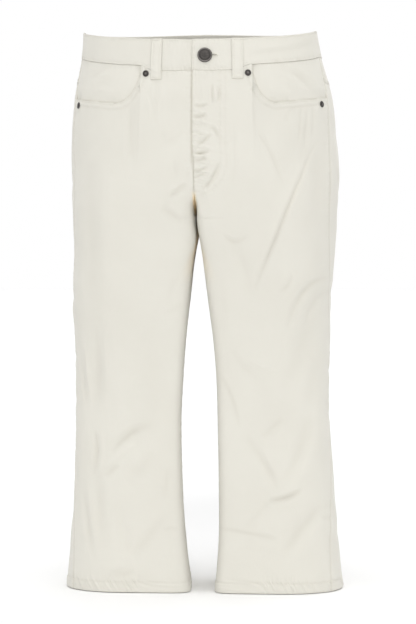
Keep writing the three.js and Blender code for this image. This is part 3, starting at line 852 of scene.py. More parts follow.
def row_painted_shade(distance):
    """Painted shade in the groove of a row of stitches: a Gaussian of its distance."""
    return 0.3 * bell(distance, 1.2)


def seam_edge(distance, along, seed):
    """Height beside a seam: a swell where cloth is turned under, uneven puckers, and a rolled drop."""
    full = swell(distance, at=4, width=3.2, height=0.45)
    drags = puckers(distance, width=7, height=0.24, along=along, length=13, seed=seed)
    return full + drags - edge_roll(distance, 0.8)


def span_at(half, share, z):
    """Millimetres round the form for a whole share, at a place."""
    step = 0.01
    way = surface(half, share + step, z) - surface(half, share - step, z)
    return np.linalg.norm(way, axis=-1) / (2 * step)


# About how many millimetres a share is round a hem, the back's shift, and the heights of what makes it up.
HEM = {"round": 150, "shift": 40, "rope": 0.55, "slope": 0.9, "twist": 12, "full": 0.45, "roll": 1.1}


def hem(half, share, z):
    """Height of the turned hem: a fuller band, roped by slanting ripples, with a groove at its stitches."""
    up = z - HEM_LEVEL
    around = share * HEM["round"] * half + HEM["shift"] * (share > 1)
    rope = HEM["rope"] * uneven(around + HEM["slope"] * up, HEM["twist"], 4.4)
    rope *= smooth(up / 3) * smooth((HEM_DEPTH + 3 - up) / 5)
    full = HEM["full"] * smooth((HEM_DEPTH - up) / 3) * smooth(up / 2)
    above = puckers(up - HEM_DEPTH, width=7, height=0.22, along=around, length=14, seed=6.1)
    groove = swell(z - HEM_ROW, at=0, width=1.0, height=0.45)
    return rope + full + above - groove - edge_roll(up, HEM["roll"])


def hem_painted_shade(z):
    """Painted shade in the groove of the hem's stitches."""
    return 0.4 * bell(z - HEM_ROW, SEAM_SHADE_WIDTH)


def hem_wall(z):
    """The cloth's thickness: more in the turned hem."""
    return mix(CLOTH, HEM_CLOTH, smooth((HEM_LEVEL + HEM_DEPTH + 1.5 - z) / 3))


def panel_levels(top, face):
    """Rows of levels below a top edge: to the crotch curve, closing up round it, and down to the hem."""
    step = UPPER_STEP / (top.max() - RISE[face])
    upper = graded(0, 1, step, [(0, step / 2.5, 0.05)])[:, None]
    turn = np.sin(np.pi / 2 * np.linspace(0, 1, TURN_STEPS + 1)[1:])[:, None]
    leg = graded(CROTCH, HEM_LEVEL, ROW_STEP[face], [(HEM_ROW, 0.8, 3), (HEM_LEVEL, 0.5, 2.5)])[1:, None]
    flat = np.zeros(top.shape)[None, :]
    start = RISE[face]
    return np.concatenate([mix(top[None, :], start, upper), mix(start, CROTCH, turn) + flat, leg + flat])


# ------------------------------------------------------------------ the fronts
FLY_STITCH = (37.0, 31.0)
FLY_TURN = {"from": -160.0, "foot": -214.0, "end": 1.5}
MOUTH_ROWS = (1.8, 7.6)


def fly_line(inset):
    """The fly's stitching: straight down at a distance from the middle, then a quarter of a superellipse in
    to the crotch seam."""
    foot = FLY_TURN["foot"] + (FLY_STITCH[0] - inset) * 0.9
    z = np.linspace(seam_level(0.2) - 1, foot, 90)
    t = np.clip((FLY_TURN["from"] - z) / (FLY_TURN["from"] - foot), 0, 1)
    x = inset * np.sqrt(np.clip(1 - t ** 2.6, 0, 1)) + FLY_TURN["end"]
    return x / span_at(1.0, np.full(z.shape, 0.08), z), z


def mouth_line(half, inset):
    """The line that lies an inset below the pocket mouth, from the waist seam to the side seam."""
    start = mouth_start(half)
    curve = start + (MOUTH["bend"] - start) * (1 - np.cos(np.linspace(0, np.pi / 2, 24)))
    share = np.concatenate([curve, np.linspace(MOUTH["bend"], 1, 14)[1:]])
    level = mouth_level(half, share)
    span = span_at(half, share, level).mean()
    dx, dz = np.gradient(share * span), np.gradient(level)
    size = np.hypot(dx, dz)
    moved = share + inset * dz / size / span
    low = level - inset * dx / size
    keep = (low < seam_level(moved) - GAP) & (moved < 1)
    return moved[keep], low[keep]


def fly_edge(z):
    """The share at which the left front's edge lies: past the middle, and back to it below the fly."""
    return FLY["edge"] * (1 - smooth((FLY["until"] - z) / (FLY["until"] - FLY["gone"])))


def front_height(half, share, z):
    """Height and painted shade of a front's outer face: relief, fly, pocket mouth, seams and hem."""
    p, n = surface(half, share, z), outward(half, share, z)
    span = span_at(half, share, z)
    height, shade = body_relief(p, n, share)
    height = height + hem(half, share, z)
    painted_shade = np.maximum(shade, hem_painted_shade(z))
    if half > 0:
        down = 1 - smooth((FLY["gone"] - z) / (FLY["gone"] - FLY["flat"]))
        height += (CLOTH + GAP) * down * (1 - smooth((share - FLY["stitched"]) / FLY["ramp"]))
        lines = [surface(half, *fly_line(inset)) for inset in FLY_STITCH]
        rows = [(*near_line(p, line), 3 + k) for k, line in enumerate(lines)]
        height, painted_shade = with_rows(height, painted_shade, rows)
        middle = np.maximum(0, share - fly_edge(z)) * span
        lumps = uneven(z + 0.25 * middle, 10, 5.0) + 0.5 * rumple(middle, z, 11, 1.4)
        lumps *= smooth((FLY["lumps_top"] - z) / 30) * smooth((z - FLY["lumps_foot"]) / 25)
        height += lumps * swell(middle, at=8, width=15, height=0.75)
    else:
        middle = np.maximum(0, share) * span
        drags = puckers(middle, width=10, height=0.2, along=z, length=9, seed=2.0)
        height += drags * smooth((z + 238) / 25)
    height += seam_edge(middle, z, 1.1)
    side = (1 - share) * span
    height += seam_edge(side, z, 2.7)
    # painted shade along the side seam and the middle
    painted_shade = np.maximum(painted_shade, bell(np.minimum(side, middle), SEAM_SHADE_WIDTH))
    # painted shadow on the right front beside the middle, where the left front's fly edge lies over it
    if half < 0:
        painted_shade = np.maximum(painted_shade, 1.7 * bell(middle - 2.4, 1.5) * smooth((z + 185) / 20))
    waist = np.where(share <= mouth_start(half) + 0.02, seam_level(share) - z, FAR)
    height += puckers(waist, width=7, height=0.24, along=share * ROUND["front"], length=11, seed=3.3)
    height -= swell(waist, at=0, width=1.2, height=0.15)
    edge, along = near_line(p, surface(half, *mouth_line(half, 0.0)))
    height += swell(edge, at=4, width=3, height=0.4) - edge_roll(edge, 0.7)
    height += puckers(edge, width=8, height=0.35, along=along, length=15, seed=1.9)
    lines = [surface(half, *mouth_line(half, inset)) for inset in MOUTH_ROWS]
    return with_rows(height, painted_shade, [(*near_line(p, line), 7 + k) for k, line in enumerate(lines)])


# Where the painted warm bounce light lies: how near the inseam in shares, and the levels of its top and foot.
PAINTED_BOUNCE = {"within": 0.034, "top": -206.0, "foot": -330.0}


def between_legs(share, z):
    """How much painted warm bounce light a place gets, deep in the narrow space between the thighs: 0 to 1."""
    seam = np.minimum(share, 2 - share)
    inward = smooth((PAINTED_BOUNCE["within"] - seam) / 0.022) * smooth(seam / 0.002)
    return inward * smooth((PAINTED_BOUNCE["top"] - z) / 14) * smooth((z - PAINTED_BOUNCE["foot"]) / 70)


def front(word, half):
    """A front panel with its stitching: the pocket mouth, the hem, and the fly on the left."""
    start = mouth_start(half)
    spots = [(0.01, 0.0016, 0.02), (0.1, 0.007, 0.06), (0.18, 0.006, 0.03), (start, 0.003, 0.03), SIDE_SPOT]
    columns = graded(0, 1, SHARE_STEP["front"], spots)
    columns[np.argmin(np.abs(columns - start))] = start
    z = panel_levels(front_top(half, columns), "front")
    share = np.broadcast_to(columns, z.shape)
    if half > 0:
        share = share + fly_edge(z) * (1 - smooth(share / FLY["eased"]))
    height, painted_shade = front_height(half, share, z)
    piece = wall_piece(f"{word}_front_cloth", half, share, z, height, height - hem_wall(z), painted_shade)
    # painted warm bounce light between the legs, on the outer face
    tint(piece, "deep", between_legs(share, z))
    fitted(piece, f"front_{word}", "twill")
    rows = [mouth_line(half, inset) for inset in MOUTH_ROWS]
    if half > 0:
        rows += [fly_line(inset) for inset in FLY_STITCH]
    lines = [laid(half, around, level, front_height(half, around, level)[0]) for around, level in rows]
    sewing = [stitches(f"{word}_front_stitches", lines)]
    around = np.linspace(0, 1, 260)
    level = np.full(around.shape, HEM_ROW)
    hem_line = laid(half, around, level, front_height(half, around, level)[0])
    sewing.append(stitches(f"{word}_front_hem_stitches", [hem_line]))


# ------------------------------------------------------------------ the pocket facings
def facing_height(half, share, z):
    """Height and painted shade of the cloth behind a pocket mouth: under the front, and rising above the
    mouth.
    """
    p, n = surface(half, share, z), outward(half, share, z)
    edge, along = near_line(p, surface(half, *mouth_line(half, 0.0)))
    above = (share > mouth_start(half)) & (z > mouth_level(half, share))
    lift = FACING["lift"] * above * smooth((np.minimum(edge, 60) - 1) / 14)
    gape = FACING["gape"] * above * bell(edge, 5) * smooth((uneven(along, 60, 2.2) - 0.2) / 0.6)
    waist = seam_level(share) - z
    side = (1 - share) * span_at(half, share, z)
    drop = swell(waist, at=0, width=1.2, height=0.1) + edge_roll(side, 0.8)
    drags = puckers(waist, width=7, height=0.2, along=share * ROUND["front"], length=12, seed=5.3)
    # painted shadow under the pocket mouth's edge, and painted shade along the waist and side seams
    painted_shade = np.maximum(1.4 * above * bell(edge, 1.5), 0.45 * bell(np.minimum(waist, side), 1.2))
    relief, shade = body_relief(p, n, share)
    return relief - CLOTH - GAP + lift - gape - drop + drags, np.maximum(painted_shade, shade)


def facing(word, half):
    """The cloth that shows behind a pocket mouth."""
    columns = graded(FACING["from"], 1, 0.010, [SIDE_SPOT, (mouth_start(half), 0.004, 0.03)])
    rows = graded(0, 1, 0.028, [(0, 0.008, 0.04)])[:, None]
    z = mix(seam_level(columns)[None, :] - 2 * GAP, FACING["bottom"], rows)
    share = np.broadcast_to(columns, z.shape)
    height, painted_shade = facing_height(half, share, z)
    piece = wall_piece(f"{word}_facing_cloth", half, share, z, height, height - POCKET_CLOTH, painted_shade)
    fitted(piece, f"pocket_facing_{word}", "twill")


# ------------------------------------------------------------------ the backs and yokes
CENTRE_ROWS = (2.0, 8.0)
YOKE_ROWS = (2.0, 8.0)


def back_seams(half, share, z):
    """Height and painted shade that a back and its yoke share: at the side, the middle, and the rows beside
    it.
    """
    span = span_at(half, share, z)
    side = np.maximum(0, share - 1) * span
    middle = np.maximum(0, 2 - share) * span
    height = seam_edge(side, z, 2.7) + seam_edge(middle, z, 3.9)
    painted_shade = bell(np.minimum(side, middle), SEAM_SHADE_WIDTH)
    if half > 0:
        rise = smooth((z - CROTCH) / 6)
        for k, inset in enumerate(CENTRE_ROWS):
            height += rise * stitched(middle - inset, z, 11 + k)
            painted_shade = np.maximum(painted_shade, rise * row_painted_shade(middle - inset))
    return height, painted_shade


def back_height(half, share, z):
    """Height and painted shade of a back's outer face: relief, hem, seams, and a tuck under the yoke."""
    p, n = surface(half, share, z), outward(half, share, z)
    height, painted_shade = back_seams(half, share, z)
    under = yoke_level(share) - z
    relief, shade = body_relief(p, n, share)
    height += relief + hem(half, share, z) - swell(under, at=0, width=1.2, height=0.6)
    height += puckers(under, width=7, height=0.2, along=share * ROUND["back"], length=12, seed=2.9)
    seams = np.maximum(hem_painted_shade(z), bell(under, SEAM_SHADE_WIDTH))
    return height, np.maximum(painted_shade, np.maximum(shade, seams))


def yoke_height(half, share, z):
    """Height and painted shade of a yoke's outer face: relief, seams, and a folded lower edge with its rows.
    """
    p, n = surface(half, share, z), outward(half, share, z)
    height, painted_shade = back_seams(half, share, z)
    over = z - yoke_level(share)
    waist = seam_level(share) - z
    relief, shade = body_relief(p, n, share)
    height += relief + swell(over, at=4, width=3.5, height=0.5) - edge_roll(over, 0.7)
    height -= swell(waist, at=0, width=1.2, height=0.5)
    painted_shade = np.maximum(painted_shade, shade)
    run = share * ROUND["back"]
    return with_rows(height, painted_shade, [(over - inset, run, 14 + k) for k, inset in enumerate(YOKE_ROWS)])


def centre_rows(low, high, height_of):
    """The two rows beside the middle seam at the back, on the left half, between two levels."""
    lines = []
    for inset in CENTRE_ROWS:
        z = np.linspace(high, low, 90)
        share = 2 - inset / span_at(1.0, np.full(z.shape, 1.97), z)
        lines.append(laid(1.0, share, z, height_of(1.0, share, z)[0]))
    return lines


def back(word, half):
    """A back panel with its stitching: the hem, and the rows beside the middle seam on the left."""
    columns = graded(1, 2, SHARE_STEP["back"], [SIDE_SPOT, MIDDLE_SPOT, (1.95, 0.007, 0.03)])
    z = panel_levels(yoke_level(columns) - GAP, "back")
    share = np.broadcast_to(columns, z.shape)
    height, painted_shade = back_height(half, share, z)
    piece = wall_piece(f"{word}_back_cloth", half, share, z, height, height - hem_wall(z), painted_shade)
    # painted warm bounce light between the legs, on the outer face
    tint(piece, "deep", between_legs(share, z))
    fitted(piece, f"back_{word}", "twill")
    around = np.linspace(1, 2, 260)
    level = np.full(around.shape, HEM_ROW)
    lines = [laid(half, around, level, back_height(half, around, level)[0])]
    if half > 0:
        lines += centre_rows(CROTCH + 8, float(yoke_level(2.0)) - 3, back_height)
    sewing = stitches(f"{word}_back_stitches", lines)


def yoke(word, half):
    """A back yoke with its stitching."""
    columns = graded(1, 2, 0.012, [SIDE_SPOT, MIDDLE_SPOT])
    rows = graded(0, 1, 0.05, [(0, 0.015, 0.04), (1, 0.010, 0.2)])[:, None]
    z = mix(seam_level(columns)[None, :] - GAP, yoke_level(columns)[None, :], rows)
    share = np.broadcast_to(columns, z.shape)
    height, painted_shade = yoke_height(half, share, z)
    piece = wall_piece(f"{word}_yoke_cloth", half, share, z, height, height - CLOTH, painted_shade)
    fitted(piece, f"yoke_{word}", "twill")
    around = np.linspace(1.002, 1.998, 200)
    lines = []
    for inset in YOKE_ROWS:
        level = yoke_level(around) + inset
        lines.append(laid(half, around, level, yoke_height(half, around, level)[0]))
    if half > 0:
        low = float(yoke_level(2.0)) + 3
        lines += centre_rows(low, float(seam_level(2.0)) - 2, yoke_height)
    sewing = stitches(f"{word}_yoke_stitches", lines)


# ------------------------------------------------------------------ the back pockets
POCKET_ROWS = (1.8, 7.6)
POCKET_TOP_ROWS = (2.0, 13.0)


def pocket_place(u, v):
    """A place on a back pocket, u across and v down, both from 0 to 1: the lower edge comes to a point."""
    low = BACK_POCKET["from"] + BACK_POCKET["taper"] * v
    high = BACK_POCKET["to"] - BACK_POCKET["taper"] * v
    share = mix(low, high, u)
    top = yoke_level(share) - BACK_POCKET["below"]
    point = BACK_POCKET["point"] * (1 - np.abs(2 * u - 1))
    return share, top - v * (BACK_POCKET["height"] + point)


def pocket_height(half, u, v):
    """Height of a back pocket: fuller at its middle, flat at its stitched edges, and open at its top."""
    share, z = pocket_place(u, v)
    p, n = surface(half, share, z), outward(half, share, z)
    wide = (BACK_POCKET["to"] - BACK_POCKET["from"] - 2 * BACK_POCKET["taper"] * v) * span_at(half, share, z)
    deep = BACK_POCKET["height"] + BACK_POCKET["point"] * (1 - np.abs(2 * u - 1))
    edge = np.minimum(np.minimum(u, 1 - u) * wide, (1 - v) * deep * 0.97)
    top = v * deep
    height = body_relief(p, n, share)[0] + GAP + POCKET_CLOTH
    height += BACK_POCKET["full"] * smooth((edge - 9) / 25) * smooth((40 - top) / 60 + 0.8)
    height += swell(edge, at=4.5, width=3, height=0.5)
    height += puckers(edge, width=9, height=0.25, along=top + 50 * u, length=14, seed=3.1 + half)
    height -= edge_roll(edge, 0.6) + edge_roll(top, 0.6)
    # painted shade along the pocket's edges
    painted_shade = bell(edge, 1.0)
    rows = [(edge - inset, top + 60 * u, 17 + k) for k, inset in enumerate(POCKET_ROWS)]
    rows += [(top - inset, u * wide, 21 + k) for k, inset in enumerate(POCKET_TOP_ROWS)]
    return share, z, *with_rows(height, painted_shade, rows)


def pocket_rows():
    """Rows of stitches on a back pocket, as lines of (u, v): round the sides and point, and over the top."""
    wide, deep = BACK_POCKET["width"], BACK_POCKET["height"]
    lines = []
    for inset in POCKET_ROWS:
        u, low = inset / wide, 1 - inset / deep
        corner = 1 - 1.1 * inset / deep
        down = np.linspace(0.01, corner, 60)
        across = np.linspace(u, 1 - u, 50)
        lines.append((np.full(60, u), down))
        lines.append((across, np.full(50, low)))
        lines.append((np.full(60, 1 - u), down[::-1]))
    for inset in POCKET_TOP_ROWS:
        across = np.linspace(0.02, 0.98, 60)
        lines.append((across, inset / (deep + BACK_POCKET["point"] * (1 - np.abs(2 * across - 1)))))
    return lines


def back_pocket(word, half):
    """A back pocket with its stitching."""
    u = graded(0, 1, 0.03, [(0, 0.007, 0.05), (1, 0.007, 0.05)])
    v = graded(0, 1, 0.022, [(0, 0.005, 0.03), (1, 0.006, 0.05), (0.1, 0.008, 0.03)])[:, None]
    share, z, height, painted_shade = pocket_height(half, u[None, :], v)
    under = body_relief(surface(half, share, z), outward(half, share, z), share)[0] + 0.75 * GAP
    puffed = np.maximum(under, height - POCKET_CLOTH)
    over = np.maximum(height, puffed + BACK_POCKET["thin"])
    piece = wall_piece(f"{word}_back_pocket_cloth", half, share, z, over, puffed, painted_shade)
    fitted(piece, f"back_pocket_{word}", "twill")
    lines = []
    for across, down in pocket_rows():
        share, z, height, _ = pocket_height(half, across, down)
        lines.append(laid(half, share, z, height))
    sewing = stitches(f"{word}_back_pocket_stitches", lines)
    under = [f"{word}_back_cloth"]


# ------------------------------------------------------------------ the waistband
BAND_ROW = 2.2
EYE_SLIT = {"from": 20.5, "to": 28.0, "half_width": 0.55, "rim": 2.3}


def band_sink(along):
    """How far the band lies beneath its buttoned end, at a place along it."""
    return (BAND["wall"] + GAP) * (1 - smooth((TAB["end"] - TAB["flat"] - along) / TAB["ramp"]))


def band_height(along, z):
    """Points and normals of the form under the band, the band's height and painted shade, and the distances
    down from its top edge and up from its lower edge."""
    half, share = place(along)
    p, n = surface(half, share, z), outward(half, share, z)
    top, low = top_level(share) - z, z - seam_level(share)
    run = along * ROUND["back"]
    relief, shade = body_relief(p, n, share)
    height = relief + BAND["outside"] - band_sink(along)
    height += puckers(low, width=9, height=0.25, along=run + 0.4 * z, length=17, seed=3.7)
    height += puckers(top, width=8, height=0.2, along=run - 0.3 * z, length=15, seed=1.2)
    rows = [(top - BAND_ROW, run, 23), (low - BAND_ROW, run, 29)]
    # painted shade along the band's lower seam, with the creases' and the stitch rows' painted shade
    height, painted_shade = with_rows(height, np.maximum(shade, 0.25 * bell(low, 1.1)), rows)
    end = np.maximum(0, along - (TAB["end"] - 4)) * ROUND["back"]
    upper = along < -2
    height += np.where(upper, stitched(end - BAND_ROW, z, 31) - edge_roll(end, 0.9), 0)
    painted_shade = np.maximum(painted_shade, np.where(upper, 2 * row_painted_shade(end - BAND_ROW), 0))
    return p, n, height, painted_shade, top, low


def band_line(along, z, lift=0.0):
    """A line on the band as points and normals."""
    p, n, height = band_height(along, z)[:3]
    return p + n * (height + lift)[:, None], n


def slit(p, upper):
    """How deep a place lies in the buttonhole, from 0 to 1, and its distance from the buttonhole's line."""
    past = np.maximum(0, np.maximum(EYE_SLIT["from"] - p[..., 0], p[..., 0] - EYE_SLIT["to"]))
    away = np.hypot(past, p[..., 2] - BUTTON["level"])
    away = np.where(upper & (p[..., 1] < 0), away, FAR)
    return 1 - smooth((away - 0.5 * EYE_SLIT["half_width"]) / (0.9 * EYE_SLIT["half_width"])), away


def waistband():
    """The band with its buttonhole and stitching, from its hidden end round the back to its buttoned end."""
    first, last = UNDERLAP, TAB["end"] - 4
    spots = [(last, 0.002, 0.02), (last + 0.17, 0.003, 0.06), (-0.08, 0.008, 0.08)]
    along = graded(first, last, 0.0125, spots)
    rows = graded(0, 1, 0.055, [(0, 0.012, 0.05), (1, 0.012, 0.05), (0.53, 0.012, 0.06)])[:, None]
    _, share = place(along)
    z = mix(top_level(share)[None, :], seam_level(share)[None, :] - 0.8 * GAP, rows)
    along = np.broadcast_to(along, z.shape)
    p, n, height, painted_shade, top, low = band_height(along, z)
    deep, away = slit(p, along < -2)
    height += 0.35 * bell(away - 1.6, 0.9) - 1.7 * deep
    # painted shade in the buttonhole's slit
    painted_shade = np.maximum(painted_shade, 1.6 * deep)
    roll = edge_roll(top, 1.1) + edge_roll(low + 0.8 * GAP, 0.6)
    half, share = place(along)
    under = body_relief(p, n, share)[0] + BAND["outside"] - band_sink(along) - BAND["wall"] + roll
    piece = wall_piece("waistband_cloth", half, share, z, height - roll, under, painted_shade)
    fitted(piece, "waistband", "band")
    lines = []
    for high in (True, False):
        run = np.linspace(TAB["end"] - 0.01, last + 0.011, 1500)
        share = place(run)[1]
        lines.append(band_line(run, top_level(share) - BAND_ROW if high else seam_level(share) + BAND_ROW))
    run = np.full(40, last + BAND_ROW / ROUND["back"])
    share = place(run)[1]
    level = np.linspace(top_level(share[0]) - BAND_ROW, seam_level(share[0]) + BAND_ROW, 40)
    lines.append(band_line(run, level))
    sewing = [stitches("waistband_stitches", lines), buttonhole()]
    under = ["left_front_cloth"]


def buttonhole():
    """Close stitches set square across the line of the buttonhole, above, below and round its outer end."""
    x = np.linspace(EYE_SLIT["from"], EYE_SLIT["to"], 14)
    turn = np.linspace(math.pi / 2, -math.pi / 2, 11)[1:-1]
    reach = EYE_SLIT["rim"]
    across = np.concatenate([x, EYE_SLIT["to"] + 0 * turn, x[::-1]])
    ways = np.concatenate([0 * x + math.pi / 2, turn, 0 * x - math.pi / 2])
    lines = []
    for x0, way in zip(across, ways):
        reached = np.array([0.35, 1.0]) * reach
        x1 = x0 + reached * math.cos(way)
        level = BUTTON["level"] + reached * math.sin(way)
        along = x1 / span_at(1.0, np.full(2, 0.1), level) - 4
        lines.append(band_line(along, level, lift=0.2))
    return stitches("buttonhole_stitches", lines, EYE_STITCH)


# ------------------------------------------------------------------ belt loops
LOOPS = (
    ("front_right", -0.293),
    ("front_left", 0.331),
    ("side_right", -1.22),
    ("side_left", 1.22),
    ("back", 2.0),
)


def loop_under(at, t, z):
    """Height of a loop's underside: flat at both ends, standing off the band between them."""
    half, share = place(at)
    foot = smooth((t - 0.72) / 0.2) * BAND["outside"]
    stand = LOOP["stand"] * smooth(t / 0.2) * smooth((1 - t) / 0.24)
    p, n = surface(half, share, z), outward(half, share, z)
    return p, n, body_relief(p, n, share)[0] + BAND["outside"] + GAP - foot + stand


def belt_loop(word, at):
    """A belt loop over the band, with two rows of stitches down it and a bar tack at each end."""
    share = abs(at)
    top, low = float(top_level(share)), float(seam_level(share)) - LOOP["tail"]
    span = float(span_at(1.0, share, LOOP["level"]))
    u = graded(0, 1, 0.09, [(0, 0.04, 0.1), (1, 0.04, 0.1)])[None, :]
    t = graded(0, 1, 0.022, [(0, 0.01, 0.04), (1, 0.01, 0.04)])[:, None]

    def spot(u, t):
        """A place on the loop, its normal, the heights of both faces, and its painted shade in the stitch
        grooves and at its ends.
        """
        along = at + LOOP["width"] / span * (u - 0.5)
        z = mix(top, low, t)
        along, z = np.broadcast_arrays(along, z)
        edge = np.minimum(u, 1 - u) * LOOP["width"] + 0 * z
        end = np.minimum(t, 1 - t) * (top - low) + 0 * z
        p, n, under = loop_under(along, t, z)
        wave = 0.12 * uneven(z + 7 * u, 8, 1.7 + at) * smooth(edge / 3)
        over = under + LOOP["wall"] + wave
        over += swell(edge, at=LOOP["width"] / 2, width=3, height=0.2) - swell(edge, LOOP["row"], 0.9, 0.25)
        # painted shade in the stitch grooves and at the loop's two ends
        painted_shade = np.maximum(0.3 * bell(edge - LOOP["row"], 1.1), bell(end, 1.0))
        return p, n, under, over - edge_roll(edge, 0.9) - edge_roll(end, 0.6), painted_shade

    p, n, under, over, painted_shade = spot(u, t)
    outer, inner = p + n * over[..., None], p + n * under[..., None]
    piece = cloth_mesh(f"{word}_loop_cloth", outer, inner)
    cloth_map(piece, outer)
    tint(piece, "painted_shade", painted_shade)
    fitted(piece, f"belt_loop_{word}", "twill")
    lines, tacks = [], []
    for across in (LOOP["row"] / LOOP["width"], 1 - LOOP["row"] / LOOP["width"]):
        p, n, _, over, _ = spot(np.full(60, across), np.linspace(0.05, 0.95, 60))
        lines.append((p + n * over[:, None], n))
    for down in (0.045, 0.95):
        p, n, _, over, _ = spot(np.linspace(0.1, 0.9, 30), np.full(30, down))
        tacks.append((p + n * over[:, None], n))
    sewing = [stitches(f"{word}_loop_stitches", lines), stitches(f"{word}_loop_tacks", tacks, TACK)]
    under = ["waistband_cloth"]


# ------------------------------------------------------------------ button and rivets
RIVETS = (
    ("rivet_inner_right", -0.372, -61.0),
    ("rivet_inner_left", 0.405, -61.0),
    ("rivet_outer_right", -0.93, -97.0),
    ("rivet_outer_left", 0.93, -97.0),
)


# Radius and height along the outline of each, from the foot to the face or to the middle.
BUTTON_SHANK = 2.1
BUTTON_PROFILE = (
    (2.1, -0.05), (2.4, 0.0), (8.2, 0.0), (8.9, 0.15), (9.3, 0.7), (9.25, 1.2), (8.95, 1.7), (8.5, 2.0),
    (8.0, 2.08), (7.55, 1.9), (7.2, 1.65),
)
RIVET_PROFILE = (
    (3.9, 0.0), (4.1, 0.15), (4.1, 0.5), (3.85, 0.8), (3.3, 0.92), (2.8, 0.85), (2.4, 0.72), (2.0, 0.85),
    (1.7, 1.15), (1.3, 1.42), (0.8, 1.52), (0.3, 1.55),
)
RIVET_STEPS = 36


def turned(name, solid, at, level, base, radii, heights, raised):
    """A closed metal piece turned about the normal at its place: rings of points by radius and height, with a
    point in the middle of each end."""
    count, steps = radii.shape
    half, share = place(at)
    centre, n = surface(half, share, level), outward(half, share, level)
    relief = float(body_relief(centre[None], n[None], np.asarray([share]))[0][0])
    side = np.cross((0, 0, 1), n)
    side /= np.linalg.norm(side)
    up = np.cross(n, side)
    centre = centre + n * (base + relief)
    angle = np.arange(steps) * 2 * np.pi / steps
    around = np.cos(angle)[:, None] * side + np.sin(angle)[:, None] * up
    rings = centre + radii[..., None] * around[None] + heights[..., None] * n
    ends = [centre[None] + n * heights[end].mean() for end in (0, -1)]
    points = np.concatenate([rings.reshape(-1, 3), *ends])
    k = np.arange(steps)
    after = (k + 1) % steps
    faces = []
    for low in range(0, (count - 1) * steps, steps):
        high = low + steps
        faces.append(np.stack([low + k, low + after, high + after], 1))
        faces.append(np.stack([low + k, high + after, high + k], 1))
    foot, head, last = count * steps, count * steps + 1, (count - 1) * steps
    faces.append(np.stack([after, k, np.full(steps, foot)], 1))
    faces.append(np.stack([last + k, last + after, np.full(steps, head)], 1))
    piece = mesh_object(name, points, np.concatenate(faces))
    attach(piece, "raised", np.concatenate([raised.ravel(), [0, raised[-1].mean()]]))
    fitted(piece, solid, "metal")


def button():
    """A tack button: a rolled rim, a ring of small studs, a thin ring, and a shallow dome with petals. Studs
    and petals are Gaussians of the radius times a cosine of the angle."""
    angle = np.arange(BUTTON["steps"]) * 2 * np.pi / BUTTON["steps"]
    profile = np.array([(BUTTON_SHANK, -(BAND["wall"] + 2 * GAP - 0.1)), *BUTTON_PROFILE])
    face = np.linspace(6.95, 0.3, 26)
    dome = 1.6 + 1.15 * (1 - (face / 7.0) ** 2)
    radii = np.repeat(np.concatenate([profile[:, 0], face])[:, None], len(angle), axis=1)
    heights = np.repeat(np.concatenate([profile[:, 1], dome])[:, None], len(angle), axis=1)
    studs = bell(radii - 5.9, 0.55) * np.maximum(0, np.cos(BUTTON["studs"] * angle)) ** 2
    petals = bell(radii - 2.6, 1.3) * np.maximum(0, np.cos(BUTTON["petals"] * angle))
    ring = bell(radii - 4.6, 0.3)
    on_face = (np.arange(len(radii)) >= len(profile))[:, None]
    carved = on_face * (0.42 * studs + 0.4 * petals + 0.22 * ring)
    rim = bell(radii - 8.3, 0.8) * (heights > 1.2)
    raised = np.clip(1.9 * carved + rim, 0, 1)
    base, heights = BAND["outside"] + GAP, heights + carved
    turned("tack_button", "waist_button", BUTTON["at"], BUTTON["level"], base, radii, heights, raised)


def rivet(solid, at, level):
    """A rivet cap: a rolled rim round a small dome."""
    profile = np.array(RIVET_PROFILE)
    radii = np.repeat(profile[:, :1], RIVET_STEPS, axis=1)
    heights = np.repeat(profile[:, 1:], RIVET_STEPS, axis=1)
    raised = np.clip(bell(radii, 1.5) + 0.5 * bell(radii - 3.7, 0.4), 0, 1)
    turned(solid.replace("rivet_", "rivet_cap_"), solid, at, level, GAP, radii, heights, raised)


for word, half in (("right", -1.0), ("left", 1.0)):
    front(word, half)
    facing(word, half)
    back(word, half)
    yoke(word, half)
    back_pocket(word, half)
waistband()
for word, at in LOOPS:
    belt_loop(word, at)
button()
for solid, at, level in RIVETS:
    rivet(solid, at, level)


# ------------------------------------------------------------------ floor, light and camera
FLOOR = {"drop": 0.8, "reach": 30.0, "colour": (0.96, 0.96, 0.96, 1), "roughness": 0.9}
SKY = {"From Min": 0.2, "From Max": 0.7, "To Min": 1.0, "To Max": 0.06}
# Name, height above the horizon, turn from the front towards +X, strength, and softness; angles in degrees.
LIGHTS = (
    ("overhead", 82, 0, 1.9, 50),
    ("key", 32, 3, 0.70, 14),
    ("fill", 20, 26, 0.12, 40),
    ("behind", 35, 165, 0.6, 60),
)


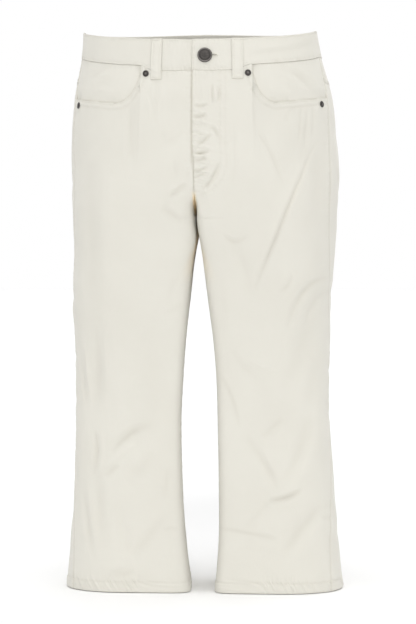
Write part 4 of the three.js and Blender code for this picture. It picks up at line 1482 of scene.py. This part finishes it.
def studio():
    """A plain pale floor just below the hems, a pale surround that is dimmer overhead, and four soft suns."""
    reach = FLOOR["reach"]
    level = (HEM_LEVEL - FLOOR["drop"]) * MM
    corners = [(-reach, -reach, level), (reach, -reach, level), (reach, reach, level), (-reach, reach, level)]
    mesh = bpy.data.meshes.new("floor")
    mesh.from_pydata(corners, [], [(0, 1, 2, 3)])
    floor = bpy.data.objects.new("floor", mesh)
    bpy.context.scene.collection.objects.link(floor)
    pale, tree, _ = material("floor")
    put(tree, tree.nodes["Principled BSDF"], {"Base Color": FLOOR["colour"], "Roughness": FLOOR["roughness"]})
    mesh.materials.append(pale)

    world = bpy.data.worlds.new("surround")
    world.use_nodes = True
    bpy.context.scene.world = world
    tree = world.node_tree
    towards = node(tree, "ShaderNodeTexCoord", {}).outputs["Generated"]
    high = node(tree, "ShaderNodeSeparateXYZ", {"Vector": towards}).outputs["Z"]
    put(tree, tree.nodes["Background"], {"Color": (1, 1, 1, 1), "Strength": ranged(tree, high, SKY)})

    for name, high, turn, power, soft in LIGHTS:
        light = bpy.data.lights.new(name, "SUN")
        light.energy = power
        light.angle = math.radians(soft)
        lamp = bpy.data.objects.new(name, light)
        lamp.rotation_euler = (math.radians(90 - high), 0, math.radians(turn))
        bpy.context.scene.collection.objects.link(lamp)


CAMERA = {
    "turn": 4.5, "distance": 3000.0, "level": -296.0, "aim_across": 9.1, "aim_level": -362.4, "lens": 133.2,
    "clip": 100.0,
}


def camera():
    """Level with the top of the thighs, a little to the wearer's left, and far off for a nearly flat view."""
    turn = math.radians(CAMERA["turn"])
    across, away = Vector((math.cos(turn), math.sin(turn), 0)), Vector((math.sin(turn), -math.cos(turn), 0))
    aim = (across * CAMERA["aim_across"] + Vector((0, 0, CAMERA["aim_level"]))) * MM
    eye = (across * CAMERA["aim_across"] + away * CAMERA["distance"] + Vector((0, 0, CAMERA["level"]))) * MM
    lens = bpy.data.cameras.new("camera")
    lens.lens = CAMERA["lens"]
    lens.clip_end = CAMERA["clip"]
    body = bpy.data.objects.new("camera", lens)
    body.location = eye
    body.rotation_euler = (aim - eye).to_track_quat("-Z", "Y").to_euler()
    bpy.context.scene.collection.objects.link(body)
    bpy.context.scene.camera = body


studio()
camera()
bpy.context.scene.view_settings.view_transform = "Standard"
